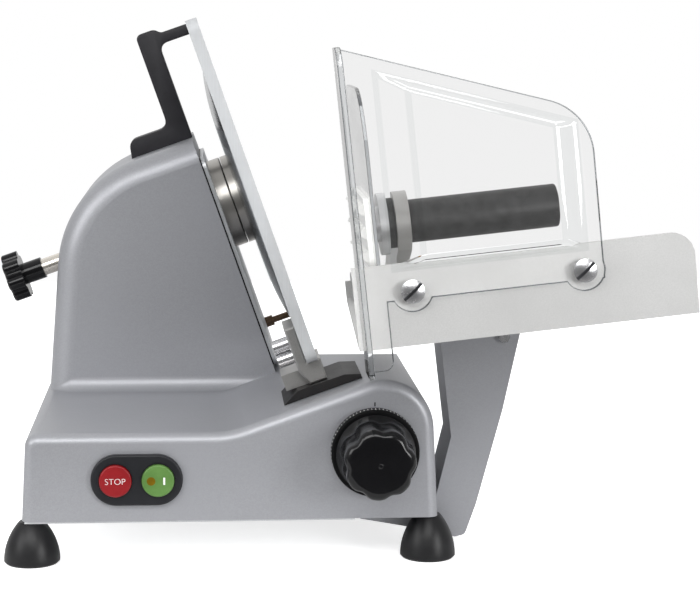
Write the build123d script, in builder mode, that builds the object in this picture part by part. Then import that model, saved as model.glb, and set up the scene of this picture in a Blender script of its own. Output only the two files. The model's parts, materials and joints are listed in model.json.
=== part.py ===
from build123d import *

import os
from math import atan2, cos, radians, sin, tan

# A gravity-feed food slicer with a 250 mm blade, its carriage tilted open.
# Units are millimetres. +X is to the right of the operator, +Y goes away from the operator
# and +Z is up. The feet stand on Z = 0, and X = 0, Y = 0 is the middle of the machine's box
# in plan. Every piece is modelled where it sits.

# Clearances
fit = 0.05  # radial, shaft in its hole
seat_gap = 0.3  # between faces that pass each other

# Base and tower casting
front_y = -124.0  # front face of the base
base_depth = 335.0
base_bottom = 30.0  # height of the feet
base_top = 90.0
base_left = -202.9  # left side of the base, at its bottom edge
wall = 5.0
draft = 3.0  # degrees, sides of the base
corner_r = 9.0
front_edge_r = 7.0
hump_x = 42.5  # hump that houses the slice thickness dial
hump_z = 90.3
hump_r = 34.5
ramp_foot_r = 60.0
crest_y = 104.0  # behind the front face, where the line of the fall bends down
crest_lift = 1.5  # height of that line's level part above the hump, so that the two cross at an angle
hump_rear_drop = 38.0
crest_r = 150.0
tower_front = 165.0  # behind the front face
tower_depth = 147.0
tower_inset = 3.9  # tower's left foot, in from the base's left side
tower_lean = 4.3  # degrees, left side of the tower
tower_top_rise = 57.0  # above the blade axis, square to it
shoulder_r = 90.0
tower_edge_r = 17.0

# Blade and its spindle: distances run along the blade axis from the plane of the cutting edge,
# positive towards the carriage
blade_tilt = 19.5  # degrees, blade plane from upright
blade_x = -36.6
blade_setback = 225.0  # blade axis, behind the base's front face
blade_z = 235.7
blade_r = 125.0
blade_dish = 14.2  # cutting edge to mounting face
blade_recess_r = 92.0  # front recess that the cover sits in
blade_recess_lip = 0.8
blade_shoulder_r = 100.0  # back of the blade
blade_shoulder_back = 9.6  # behind the edge
blade_bevel_r = 119.0
blade_bevel_back = 3.0
blade_plate = 2.2
blade_flat_r = 60.0
blade_bulge = 1.2  # of the dish, beyond a straight cone
blade_bore_r = 20.0
blade_screw_circle = 27.0
blade_screw_count = 3
blade_screw_r = 2.5
blade_screw_head_r = 4.5
blade_screw_head = 2.6
hub_flange_r = 35.0
hub_flange = 5.4
hub_front = 2.0
hub_opening_r = 12.0
hub_r = 25.0
hub_length = 73.0
spindle_r = 10.0
spindle_bore_r = 7.1
spindle_nose = -8.0
spindle_foot = -149.0
spindle_boss_r = 18.0
spindle_boss = 18.0  # length of the spindle's seat in the casting
bearing_r = 21.0
bearing_width = 12.0
bearing_shield = 0.8
bearing_race = 3.0
driven_pulley_r = 46.0
pulley_width = 20.0
pulley_grooves = 5
groove_depth = 1.6
casting_face = -33.6
gasket_thickness = 1.0
face_plate_thickness = 2.5
face_plate_inset = 6.0
face_plate_bottom = -125.0
face_plate_top = 42.0
face_plate_corner_r = 8.0
face_screw_r = 2.0
face_screw_head_r = 4.0
face_screw_head = 1.4
face_screws_at = ((-46.0, 34.0), (73.0, 34.0), (-46.0, -37.0), (73.0, -37.0), (-46.0, -114.0), (30.0, -114.0))
hub_hole_r = 26.0
boss_length = 9.9
boss_edge_r = 1.0
boss_bore_gap = 0.4

# Blade cover and its tie rod
cover_r = 89.0
cover_plate = 2.5
cover_face = -1.2
cover_boss_r = 15.0
tie_rod_r = 6.5
tie_thread_r = 5.0
tie_tip = -3.5
tie_knob_face = -205.2
tie_knob_r = 19.0
tie_knob_head = 13.0
tie_lobe_r = 5.5
tie_lobes = 7
tie_core_r = 15.6
tie_knob_edge_r = 2.0
tie_neck = 15.5
tie_neck_r = 8.2
tie_rod_end = 6.0  # rod's left end, in from the knob's face

# Ring guard, its post and its stay
ring_inner_r = 128.5
ring_outer_r = 138.5
ring_back = -8.5
ring_front = -1.0
ring_wall = 2.0
ring_top_lead = 13.0  # degrees, in front of the highest point
ring_foot_lag = 25.0  # degrees, behind the lowest point
post_angle = 34.0  # degrees behind the lowest point
post_r = 2.6
post_hex = 8.0  # across flats
post_nut = 6.5
stay_depth = 26.0
stay_left = -83.2
stay_right = -33.6
stay_strut = 15.0
stay_foot = 13.5
stay_gusset = 9.0
stay_top = 144.0
stay_arm_top = 140.0
stay_arm_bottom = 131.5
stay_chamfer = 3.0
stay_inner_r = 5.0
stay_edge_r = 2.0

# Motor and belt
motor_drop = 96.0  # below the blade axis, square to it
motor_r = 45.0
motor_length = 58.0
motor_flange = 4.0
motor_flange_face = -96.0
motor_flange_top = -47.0
motor_flange_bottom = -148.0
motor_rib = 6.5
motor_rib_reach = 13.0
motor_edge_r = 6.0
motor_bore = 30.0
motor_shaft_r = 7.0
drive_pulley_r = 15.0
belt_thickness = 3.0
belt_gap = 0.3
belt_side_gap = 2.0

# Gauge plate and its slide
gauge_thickness = 8.0
gauge_top = 140.7
gauge_bottom = -106.5
gauge_front_setback = 20.0  # behind the base's front face
gauge_rear_setback = 184.0
gauge_corner_r = 8.0
gauge_blade_gap = 3.5
gauge_travel = 14.0
bracket_setback = 33.0  # behind the base's front face
bracket_width = 42.0
bracket_thickness = 7.5
bracket_top = -80.0
bracket_cut_top = -111.0
bracket_cut_side = 4.6
bracket_foot_right = 1.8
bracket_lobe = 12.5
bracket_lobe_top = -111.0
bracket_lobe_inset = 6.0
bracket_edge = 1.2
gauge_post_right = 1.0
gauge_post_thickness = 11.0
gauge_post_inset = 6.0
gauge_bolt_r = 2.5
gauge_bolt_head_r = 4.8
gauge_bolt_key = 5.0  # across flats
gauge_bolt_key_depth = 3.0
gauge_bolt_head = 11.5
gauge_bolt_rises = (-93.0, -103.0)
gauge_bolt_end = -3.0
slot_margin = 1.0
cover_left = -32.5
cover_right = 24.5
cover_side = 6.0  # slot cover, beyond the bracket on both sides
cover_high = 6.3
cover_low = 2.8
cover_shoulder = -20.7
cover_break = 13.5
guide_rod_r = 5.0
guide_rod_level = -160.0
guide_rod_inset = 12.0
guide_rod_left = -98.0
guide_rod_right = 24.0
guide_rib = 9.0
guide_rib_width = 46.0
guide_rib_drop = 10.0
slide_left = -45.0
slide_right = 4.0
slide_high = -148.0
slide_low = -184.0
follower_r = 3.0
follower_arm = 12.0

# Slice thickness dial
dial_x = 36.0
dial_z = 76.7
dial_r = 30.0
dial_thickness = 9.0
dial_edge_r = 1.5
dial_turn = 300.0  # degrees for the whole travel
knob_skirt_r = 27.0
knob_skirt = 3.0
knob_waist_r = 23.5
knob_waist = 11.0
knob_waist_bulge = 0.8
knob_face_r = 21.5
knob_length = 39.0
knob_edge = 1.8
knob_lobes = 9
knob_scallop_r = 6.5
knob_scallop_circle = 26.5
knob_scallop_start = 6.0
dial_shaft_r = 7.0
dial_shaft_grip = 20.0
cam_r = 35.0
cam_front = 9.0
cam_thickness = 8.0
cam_start = 15.0
cam_slot_gap = 0.4
cam_points = 25
shaft_tail = 1.5

# Switch
switch_x = -125.0
switch_z = 59.0
bezel_length = 62.0
bezel_width = 35.0
bezel_height = 4.0
bezel_edge_r = 1.5
button_r = 11.0
button_pitch = 28.6
button_proud = 3.0
button_travel = 3.0
button_tail = 8.0
button_gap = 0.35
button_edge_r = 1.2
lamp_offset = -4.6
lamp_r = 2.9
lamp_depth = 3.0
switch_body = 30.0
switch_body_length = 60.0
switch_body_height = 30.0

# Cable gland in the rear wall
gland_x = -153.0
gland_z = 56.0
gland_r = 8.0
gland_hex = 19.0  # across flats
gland_nut = 5.0
gland_out = 10.0
gland_in = 3.0
gland_bore_r = 3.8

# Feet and bottom plate
foot_r = 19.0
foot_rim = 3.5
foot_chamfer = 1.5
foot_neck_r = 8.4
foot_waist = 0.73  # share of the bell's flare that is reached at its middle height
foot_inset_x = 6.1
foot_inset_y = 11.0
foot_recess_r = 5.6
foot_recess = 8.0
foot_screw_r = 3.0
foot_screw_head_r = 5.0
foot_screw_head = 4.0
foot_screw_grip = 14.0
foot_boss_r = 9.0
foot_boss = 16.0
bottom_plate_thickness = 1.5
bottom_plate_inset = 2.0
bottom_plate_right = 23.0
edge_rib = 6.0

# Carriage: tray distances run along the tray's slope and square to it
carriage_tilt = 6.2  # degrees, slope of the tray with the carriage tilted open
rod_x = 58.0
rod_z = 62.0
rod_r = 8.0
rod_front = 21.5  # behind the front face
rod_lug = 7.0
rod_lug_height = 15.0
rod_seat = 3.0  # depth of the rear seats
slide_hub_r = 13.0
rail_x = 32.0
rail_z = 50.0
rail_size = 9.0
rail_lug = 7.5
slide_fork = 7.5
arm_setback = 31.0  # behind the base's front face
arm_depth = 48.0
arm_ear = 11.5
arm_wall = 4.5
arm_foot = 10.0
arm_top_left = 63.9
arm_top_right = 126.3
arm_waist = (64.9, -87.0)
arm_foot_corner = (47.4, -143.4)
arm_foot_middle = (29.0, -137.4)
arm_foot_end = (-4.4, -127.5)
arm_sole = (60.5, -158.5)
arm_heel = (67.6, -157.5)
arm_heel_r = 4.0
arm_stop_lift = 0.5  # of the stop that meets the base, above the base's bottom edge
arm_shin = (77.5, -136.8)
arm_elbow = (102.4, -72.4)
arm_ear_foot = (14.9, 32.9)  # along the tray
arm_pocket_floor = -128.0
arm_pocket_narrow = 75.5
tray_x = 18.4
tray_z = 159.0
tray_overhang = 85.0  # ahead of the base's front face
tray_depth = 230.0
tray_length = 219.0
tray_wall = 3.0
tray_height = 53.0
tray_rear_height = 15.0
tray_corner_r = 15.0
tray_taper = 9.0  # left edge, further in at the rear
tray_tongue = 12.0
tray_tongue_left = 77.0
tray_tongue_drop = 27.0
tray_bolt_x = 108.3
tray_bolt_rise = -21.0
tray_bolt_r = 3.0
tray_bolt_hex = 7.0  # across flats
tray_bolt_head = 4.0
tray_bolt_end = 2.0

# Clear hand guard on the tray
guard_thickness = 4.0
guard_left = 2.5
guard_right = 159.8
guard_top_left = 191.5
guard_top_right = 136.0
guard_corner_r = 38.0
guard_low = 29.4
guard_tab = 21.0
guard_tab_foot = -14.0
guard_tab_r = 6.0
guard_flange = 26.0
guard_flange_r = 14.0
guard_lobe_r = 13.5
guard_screw_r = 7.6
guard_screw_head = 4.0
guard_screw_edge_r = 1.2
guard_screw_slot = 1.8
guard_screw_turn = 45.0  # degrees
guard_screw_slot_depth = 1.6
guard_screw_shank_r = 3.0
guard_screw_tail = 5.0
guard_screws_at = ((37.0, 35.0), (147.0, 36.0))
guard_field_rise = 5.0
guard_field_left = 27.0
guard_field_right = 149.0
guard_field_low = 50.0
guard_field_top = 10.0  # below the guard's top edge
guard_field_slope = 13.0
guard_field_left_slope = 19.0
guard_field_low_slope = 6.0
guard_field_top_slope = 5.0

# Pusher
pusher_rod_r = 5.0
pusher_rod_inset = 20.0  # in from the tray's rear edge
pusher_rod_rise = 14.0
pusher_rod_left = 12.5
pusher_rod_right = 212.0
pusher_lug = 8.0
pusher_lug_wall = 4.5
pusher_bush_right = 73.0
pusher_bush_wall = 2.0
pusher_bush_flange = 2.0
pusher_bush_flange_r = 9.0
pusher_axis_setback = 95.0  # behind the tray's front edge
pusher_axis_rise = 69.0
pusher_hub_wall = 3.0
pusher_hub_left = 33.4
pusher_hub_right = 66.0
pusher_arm_left = 38.4
pusher_arm_thickness = 9.5
pusher_core_r = 7.0
pusher_neck_r = 12.0
pusher_collar_left = 27.4
pusher_collar = 5.0
pusher_collar_r = 21.0
pusher_spacer_r = 17.0
ferrule_r = 11.0
grip_r = 14.6
grip_left = 55.4
grip_length = 94.0
grip_end_r = 5.0
grip_cap = 2.0
tooth_plate_left = 15.0
tooth_plate_thickness = 3.0
tooth_plate_width = 110.0
tooth_plate_height = 46.0
tooth_plate_r = 6.0
tooth_rise = 4.5
tooth_size = 8.0
tooth_taper = 36.0  # degrees
tooth_rows = 3
tooth_columns = 6
shield_thickness = 2.5
shield_half_width = 72.0
shield_top = 163.0
shield_top_r = 40.0

tilt_cos = cos(radians(blade_tilt))
tilt_sin = sin(radians(blade_tilt))
slope = radians(carriage_tilt)
rear_y = front_y + base_depth
blade_y = front_y + blade_setback
gauge_front = front_y + gauge_front_setback
gauge_rear = front_y + gauge_rear_setback
bracket_front = front_y + bracket_setback
arm_front = front_y + arm_setback
tray_front = front_y - tray_overhang
pusher_rod_y = tray_front + tray_depth - pusher_rod_inset
pusher_axis_y = tray_front + pusher_axis_setback
base_right = hump_x + hump_r * cos(radians(draft)) + (
    hump_z + hump_r * sin(radians(draft)) - base_bottom
) * tan(radians(draft))
blade_seat = -blade_dish
hub_back = blade_seat - hub_length
hub_flange_back = blade_seat - hub_flange
pulley_front = hub_back + pulley_width
plate_back = casting_face + gasket_thickness
plate_front = plate_back + face_plate_thickness
motor_front = motor_flange_face - motor_flange
gauge_back = -gauge_thickness
bracket_back = gauge_back - bracket_thickness
bracket_rear = bracket_front + bracket_width
gauge_post_left = gauge_post_right - gauge_post_thickness
pusher_bush_r = pusher_rod_r + fit + pusher_bush_wall
pusher_hub_r = pusher_bush_r + fit + pusher_hub_wall
pusher_arm_right = pusher_arm_left + pusher_arm_thickness
shield_left = tooth_plate_left + tooth_plate_thickness
shield_right = shield_left + shield_thickness
blade_axis = Axis((blade_x, blade_y, blade_z), (tilt_cos, 0, tilt_sin))


def upright(y):
    """Plane facing the operator at depth y: sketch x is X, sketch y is Z."""
    return Plane(origin=(0, y, 0), x_dir=(1, 0, 0), z_dir=(0, -1, 0))


def along_blade(distance):
    """Plane square to the blade axis: sketch x is depth from the axis, sketch y is up the blade."""
    origin = (blade_x + distance * tilt_cos, blade_y, blade_z + distance * tilt_sin)
    return Plane(origin=origin, x_dir=(0, 1, 0), z_dir=(tilt_cos, 0, tilt_sin))


def blade_side(y):
    """Plane facing the operator at depth y: sketch x runs along the blade axis, sketch y up the blade."""
    return Plane(origin=(blade_x, y, blade_z), x_dir=(tilt_cos, 0, tilt_sin), z_dir=(0, -1, 0))


def half_section(rise):
    """Plane through an axis parallel to the blade's: sketch x is its radius, sketch y runs along it."""
    x, z = from_blade(0, rise)
    return Plane(origin=(x, blade_y, z), x_dir=(0, 1, 0), z_dir=(tilt_sin, 0, -tilt_cos))


def tray_side(y):
    """Plane facing the operator at depth y: sketch x runs along the tray, sketch y square to its floor."""
    return Plane(origin=(tray_x, y, tray_z), x_dir=(cos(slope), 0, sin(slope)), z_dir=(0, -1, 0))


def along_tray(distance):
    """Plane square to the tray's slope: sketch x is Y, sketch y is square to the tray's floor."""
    origin = (tray_x + distance * cos(slope), 0, tray_z + distance * sin(slope))
    return Plane(origin=origin, x_dir=(0, 1, 0), z_dir=(cos(slope), 0, sin(slope)))


def towards_blade(distance):
    """The same plane seen from the other side, so that it extrudes down the tray towards the blade."""
    origin = (tray_x + distance * cos(slope), 0, tray_z + distance * sin(slope))
    return Plane(origin=origin, x_dir=(0, -1, 0), z_dir=(-cos(slope), 0, -sin(slope)))


def from_blade(distance, rise):
    """X and Z of a point given along the blade axis and up the blade."""
    return (
        blade_x + distance * tilt_cos - rise * tilt_sin,
        blade_z + distance * tilt_sin + rise * tilt_cos,
    )


def to_blade(x, z):
    """Distance along the blade axis and rise up the blade of a point in X and Z."""
    return (
        (x - blade_x) * tilt_cos + (z - blade_z) * tilt_sin,
        (z - blade_z) * tilt_cos - (x - blade_x) * tilt_sin,
    )


def to_tray(x, z):
    """Distance along the tray and rise above its floor line of a point in X and Z."""
    return (
        (x - tray_x) * cos(slope) + (z - tray_z) * sin(slope),
        (z - tray_z) * cos(slope) - (x - tray_x) * sin(slope),
    )


def panel(left, low, right, high, mode=Mode.ADD):
    """Rectangle by its corners, in the sketch being drawn."""
    with Locations(((left + right) / 2, (low + high) / 2)):
        Rectangle(right - left, high - low, mode=mode)


def save(builder, name):
    """Label a finished piece and write it as one STEP file."""
    builder.part.label = name
    export_step(builder.part, f"parts/{name}.step")


def base_outline(inset, foot):
    """Outline of the base seen from the front, set in by a wall, closed along its foot."""
    lean = tan(radians(draft))
    top = base_top - inset
    radius = hump_r - inset
    left = base_left + inset / cos(radians(draft))
    ramp_end = (hump_x - radius * tilt_sin, hump_z + radius * tilt_cos)
    ramp_foot = (ramp_end[0] - (ramp_end[1] - top) / tan(radians(blade_tilt)), top)
    arc_mid_angle = radians((90 + blade_tilt + draft) / 2)
    arc_mid = (hump_x + radius * cos(arc_mid_angle), hump_z + radius * sin(arc_mid_angle))
    arc_end = (hump_x + radius * cos(radians(draft)), hump_z + radius * sin(radians(draft)))
    right_foot = (arc_end[0] + (arc_end[1] - foot) * lean, foot)
    left_foot = (left + (foot - base_bottom) * lean, foot)
    left_top = (left + (top - base_bottom) * lean, top)
    Polyline(left_foot, left_top, ramp_foot, ramp_end)
    ThreePointArc(ramp_end, arc_mid, arc_end)
    Polyline(arc_end, right_foot, left_foot)
    return left_top, ramp_foot


def hump_fall(inset):
    """Wedge above the hump's rear, seen from the side, set in by a wall."""
    crest = hump_z + hump_r + crest_lift - inset
    Polygon(
        (front_y + crest_y - hump_r, crest),
        (front_y + crest_y, crest),
        (rear_y + 1, crest - hump_rear_drop),
        (rear_y + 1, crest + hump_r),
        (front_y + crest_y - hump_r, crest + hump_r),
        align=None,
    )
    return front_y + crest_y, crest


def tower_corners(inset):
    """Corners of the tower seen from the front, set in by a wall: from the left foot to the right foot."""
    sink = base_top - corner_r - wall
    lean = tan(radians(tower_lean))
    left = base_left + (base_top - base_bottom) * tan(radians(draft)) + tower_inset + inset
    face = casting_face - inset
    rise = tower_top_rise - inset
    top_right = from_blade(face, rise)
    top_slope = tan(radians(blade_tilt))
    # the left side and the top meet where both lines give the same height
    across = (top_right[1] - base_top - top_slope * (top_right[0] - left)) / (1 / lean - top_slope)
    top_left = (left + across, base_top + across / lean)
    foot_left = (left - (base_top - sink) * lean, sink)
    drop = (top_right[1] - sink) / tilt_cos
    foot_right = (top_right[0] + drop * tilt_sin, sink)
    return foot_left, top_left, top_right, foot_right


def tower_block(inset):
    """The tower as a solid, or the room inside it when set in by a wall."""
    with BuildPart() as block:
        with BuildSketch(upright(front_y + tower_front + inset)) as face:
            corners = tower_corners(inset)
            Polygon(*corners, align=None)
            fillet(face.vertices().sort_by_distance(corners[1])[0], shoulder_r - inset)
        extrude(amount=-(tower_depth - 2 * inset))
        ends = block.faces().sort_by(Axis.Y)
        blade_face = to_blade(*corners[2])[0]
        rims = [
            e
            for e in ends[0].edges() + ends[-1].edges()
            if to_blade(e.center().X, e.center().Z)[0] < blade_face - 1 and e.center().Z > base_top
        ]
        fillet(rims, tower_edge_r - inset)
    return block


def bell_foot(x, y, top):
    """Rubber foot: a bell, with a recess below for its screw."""
    with BuildPart() as foot:
        with BuildSketch(Plane(origin=(x, y, 0), x_dir=(1, 0, 0), z_dir=(0, -1, 0))):
            middle = (
                foot_neck_r + (foot_r - foot_neck_r) * foot_waist,
                (foot_rim + top) / 2,
            )
            with BuildLine():
                Polyline(
                    (foot_recess_r, 0),
                    (foot_r - foot_chamfer, 0),
                    (foot_r, foot_chamfer),
                    (foot_r, foot_rim),
                )
                ThreePointArc((foot_r, foot_rim), middle, (foot_neck_r, top))
                Polyline(
                    (foot_neck_r, top),
                    (foot_screw_r + fit, top),
                    (foot_screw_r + fit, foot_recess),
                    (foot_recess_r, foot_recess),
                    (foot_recess_r, 0),
                )
            make_face()
        revolve(axis=Axis((x, y, 0), (0, 0, 1)))
    return foot


def grooved_pulley(radius, bore, rise):
    """Pulley with small vee grooves, turned about an axis parallel to the blade's."""
    x, z = from_blade(0, rise)
    pitch = pulley_width / (pulley_grooves + 1)
    with BuildPart() as pulley:
        with BuildSketch(half_section(rise)):
            panel(bore, hub_back, radius, pulley_front)
            for groove in range(1, pulley_grooves + 1):
                middle = hub_back + groove * pitch
                Polygon(
                    (radius + 1, middle - pitch / 2),
                    (radius - groove_depth, middle),
                    (radius + 1, middle + pitch / 2),
                    align=None,
                    mode=Mode.SUBTRACT,
                )
        revolve(axis=Axis((x, blade_y, z), (tilt_cos, 0, tilt_sin)))
    return pulley


os.makedirs("parts", exist_ok=True)

left_foot_x = base_left + foot_inset_x
right_foot_x = base_right - foot_inset_x
front_foot_y = front_y + foot_inset_y
rear_foot_y = rear_y - foot_inset_y
foot_places = (
    (left_foot_x, front_foot_y),
    (right_foot_x, front_foot_y),
    (left_foot_x, rear_foot_y),
    (right_foot_x, rear_foot_y),
)
guide_rod_depths = (bracket_front + guide_rod_inset - blade_y, bracket_rear - guide_rod_inset - blade_y)
bracket_middle = (bracket_front + bracket_rear) / 2
ramp_rise = to_blade(hump_x, hump_z)[1] + hump_r
cover_foot = ramp_rise + seat_gap
cover_top = cover_foot + cover_high
bracket_bottom = cover_top + seat_gap
rod_front_y = front_y + rod_front
rod_end_y = rear_y - wall + rod_seat

# Outside of the base, before it is joined to the tower
with BuildPart() as base_block:
    with BuildSketch(upright(front_y)) as base_face:
        with BuildLine():
            left_top, ramp_foot = base_outline(0, base_bottom)
        make_face()
        fillet(base_face.vertices().sort_by_distance(left_top)[0], corner_r)
        fillet(base_face.vertices().sort_by_distance(ramp_foot)[0], ramp_foot_r)
    extrude(amount=-base_depth)
    with BuildSketch(Plane.YZ.offset(base_left)) as outer_fall:
        crest = hump_fall(0)
        fillet(outer_fall.vertices().sort_by_distance(crest)[0], crest_r)
    extrude(amount=base_right - base_left, mode=Mode.SUBTRACT)
    front_rim = base_block.edges().group_by(Axis.Y)[0].sort_by(Axis.Z)[1:]
    fillet(front_rim, front_edge_r)

# Bosses, ribs and lugs that stand inside the casting
with BuildPart() as supports:
    with BuildSketch(Plane.XY.offset(base_bottom - 1)):
        with Locations(*foot_places):
            Circle(foot_boss_r)
    extrude(amount=foot_boss + 1)
    with BuildSketch(along_blade(spindle_foot + spindle_boss)):
        Circle(spindle_boss_r)
    extrude(amount=-spindle_boss - 2 * wall - spindle_r)
    with BuildSketch(along_blade(guide_rod_left)):
        panel(
            bracket_middle - guide_rib_width / 2 - blade_y,
            guide_rod_level - guide_rib_drop,
            bracket_middle + guide_rib_width / 2 - blade_y,
            ramp_rise + 2 * wall,
        )
    extrude(amount=guide_rib)
    with BuildSketch(along_blade(guide_rod_right)):
        panel(
            bracket_middle - guide_rib_width / 2 - blade_y,
            guide_rod_level - guide_rib_drop,
            bracket_middle + guide_rib_width / 2 - blade_y,
            ramp_rise + 2 * wall,
        )
    extrude(amount=-guide_rib)
    with BuildSketch(along_blade(motor_flange_face)):
        tower_near = front_y + tower_front - blade_y
        tower_far = tower_near + tower_depth
        panel(tower_near, motor_flange_bottom, tower_near + motor_rib_reach, motor_flange_top)
        panel(tower_far - motor_rib_reach, motor_flange_bottom, tower_far, motor_flange_top)
    extrude(amount=motor_rib)
    with BuildSketch(upright(rod_front_y)):
        panel(rod_x - rod_r - wall, rod_z - rod_lug_height, base_right, rod_z + rod_lug_height)
        panel(rail_x - rail_lug, rail_z - rail_lug, rod_x, rail_z + rail_lug)
    extrude(amount=-rod_lug)
    with BuildSketch(upright(front_y)):
        panel(bottom_plate_right - edge_rib, base_bottom - 1, bottom_plate_right, base_bottom + edge_rib)
    extrude(amount=-base_depth)

# Room inside the base and the tower, round those supports
tower_room = tower_block(wall)
with BuildPart() as cavity:
    with BuildSketch(upright(front_y + wall)):
        with BuildLine():
            base_outline(wall, base_bottom - 1)
        make_face()
    extrude(amount=-(base_depth - 2 * wall))
    with BuildSketch(Plane.YZ.offset(base_left)) as inner_fall:
        inner_crest = hump_fall(wall)
        fillet(inner_fall.vertices().sort_by_distance(inner_crest)[0], crest_r)
    extrude(amount=base_right - base_left, mode=Mode.SUBTRACT)
    add(tower_room.part)
    add(supports.part, mode=Mode.SUBTRACT)

# Base and tower: one painted aluminium casting
tower_body = tower_block(0)
with BuildPart() as base_casting:
    add(base_block.part)
    add(tower_body.part)
    add(cavity.part, mode=Mode.SUBTRACT)
    # blade side of the tower: hub opening and face plate screws
    with BuildSketch(along_blade(casting_face)):
        Circle(hub_hole_r)
        with Locations(*face_screws_at):
            Circle(face_screw_r + fit)
    extrude(amount=-wall - 1, mode=Mode.SUBTRACT)
    # spindle seat, and the tie rod's way out through the left side
    with BuildSketch(along_blade(spindle_foot)):
        Circle(spindle_r + fit)
    extrude(amount=spindle_boss + 1, mode=Mode.SUBTRACT)
    with BuildSketch(along_blade(spindle_foot + 1)):
        Circle(tie_rod_r + fit)
    extrude(amount=-spindle_boss - wall, mode=Mode.SUBTRACT)
    # slot for the gauge post through the ramp
    with BuildSketch(along_blade(gauge_post_left - gauge_travel - slot_margin)):
        panel(
            bracket_front + gauge_post_inset - slot_margin - blade_y,
            ramp_rise - 2 * wall,
            bracket_rear - gauge_post_inset + slot_margin - blade_y,
            ramp_rise + wall,
        )
    extrude(amount=gauge_post_thickness + gauge_travel + 2 * slot_margin, mode=Mode.SUBTRACT)
    # guide rods in their ribs
    with BuildSketch(along_blade(guide_rod_left)):
        with Locations(*[(depth, guide_rod_level) for depth in guide_rod_depths]):
            Circle(guide_rod_r + fit)
    extrude(amount=guide_rod_right - guide_rod_left, mode=Mode.SUBTRACT)
    # dial shaft and the two buttons through the front
    with BuildSketch(upright(front_y)):
        with Locations((dial_x, dial_z)):
            Circle(dial_shaft_r + fit)
        with Locations((switch_x - button_pitch / 2, switch_z), (switch_x + button_pitch / 2, switch_z)):
            Circle(button_r + button_gap)
    extrude(amount=-wall - 1, mode=Mode.SUBTRACT)
    # carriage rod and rail: through the front lugs, and into blind seats at the rear
    with BuildSketch(upright(rod_front_y - 1)):
        with Locations((rod_x, rod_z)):
            Circle(rod_r + fit)
        with Locations((rail_x, rail_z)):
            Rectangle(rail_size + 2 * fit, rail_size + 2 * fit)
    extrude(amount=-(rod_end_y - rod_front_y + 1), mode=Mode.SUBTRACT)
    # cable gland
    with BuildSketch(upright(rear_y)):
        with Locations((gland_x, gland_z)):
            Circle(gland_r + fit)
    extrude(amount=wall + 1, mode=Mode.SUBTRACT)
    # foot screws
    with BuildSketch(Plane.XY.offset(base_bottom - 1)):
        with Locations(*foot_places):
            Circle(foot_screw_r + fit)
    extrude(amount=foot_screw_grip + 1, mode=Mode.SUBTRACT)
save(base_casting, "base_casting")

# Bottom plate, left of the carriage's opening, held by the left feet
with BuildPart() as bottom_plate:
    with BuildSketch(Plane.XY.offset(base_bottom - bottom_plate_thickness)):
        panel(
            base_left + bottom_plate_inset,
            front_y + bottom_plate_inset,
            bottom_plate_right,
            rear_y - bottom_plate_inset,
        )
        with Locations((left_foot_x, front_foot_y), (left_foot_x, rear_foot_y)):
            Circle(foot_screw_r + fit, mode=Mode.SUBTRACT)
    extrude(amount=bottom_plate_thickness)
save(bottom_plate, "bottom_plate")

plate_underside = base_bottom - bottom_plate_thickness
foot_front_left = bell_foot(left_foot_x, front_foot_y, plate_underside)
save(foot_front_left, "foot_front_left")
foot_front_right = bell_foot(right_foot_x, front_foot_y, base_bottom)
save(foot_front_right, "foot_front_right")
foot_rear_left = bell_foot(left_foot_x, rear_foot_y, plate_underside)
save(foot_rear_left, "foot_rear_left")
foot_rear_right = bell_foot(right_foot_x, rear_foot_y, base_bottom)
save(foot_rear_right, "foot_rear_right")

with BuildPart() as foot_screws:
    with BuildSketch(Plane.XY.offset(foot_recess)):
        with Locations(*foot_places):
            Circle(foot_screw_head_r)
    extrude(amount=-foot_screw_head)
    with BuildSketch(Plane.XY.offset(foot_recess)):
        with Locations(*foot_places):
            Circle(foot_screw_r)
    extrude(amount=base_bottom + foot_screw_grip - 1 - foot_recess)
save(foot_screws, "foot_screws")

# Cable gland in the rear wall
with BuildPart() as cable_gland:
    with BuildSketch(upright(rear_y)):
        with Locations((gland_x, gland_z)):
            RegularPolygon(gland_hex / 2, 6, major_radius=False)
    extrude(amount=-gland_nut)
    with BuildSketch(upright(rear_y - wall - gland_in)):
        with Locations((gland_x, gland_z)):
            Circle(gland_r)
    extrude(amount=-(wall + gland_in + gland_out))
    with BuildSketch(upright(rear_y - wall - gland_in)):
        with Locations((gland_x, gland_z)):
            Circle(gland_bore_r)
    extrude(amount=-(wall + gland_in + gland_out), mode=Mode.SUBTRACT)
save(cable_gland, "cable_gland")

# Switch: dark plate, contact block behind the front wall, two buttons and the lamp in the start button
button_places = ((switch_x - button_pitch / 2, switch_z), (switch_x + button_pitch / 2, switch_z))
with BuildPart() as switch_bezel:
    with BuildSketch(upright(front_y)):
        with Locations((switch_x, switch_z)):
            SlotOverall(bezel_length, bezel_width)
        with Locations(*button_places):
            Circle(button_r + button_gap, mode=Mode.SUBTRACT)
    extrude(amount=bezel_height)
    fillet(switch_bezel.faces().sort_by(Axis.Y)[0].outer_wire().edges(), bezel_edge_r)
save(switch_bezel, "switch_bezel")

with BuildPart() as switch_block:
    with BuildSketch(upright(front_y + wall)):
        with Locations((switch_x, switch_z)):
            Rectangle(switch_body_length, switch_body_height)
    extrude(amount=-switch_body)
    with BuildSketch(upright(front_y + wall)):
        with Locations(*button_places):
            Circle(button_r + button_gap)
    extrude(amount=-(button_tail + button_travel + seat_gap - wall), mode=Mode.SUBTRACT)
save(switch_block, "switch_block")

with BuildPart() as stop_button:
    with BuildSketch(upright(front_y + button_tail)):
        with Locations(button_places[0]):
            Circle(button_r)
    extrude(amount=button_tail + bezel_height + button_proud)
    fillet(stop_button.faces().sort_by(Axis.Y)[0].edges(), button_edge_r)
save(stop_button, "stop_button")

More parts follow.
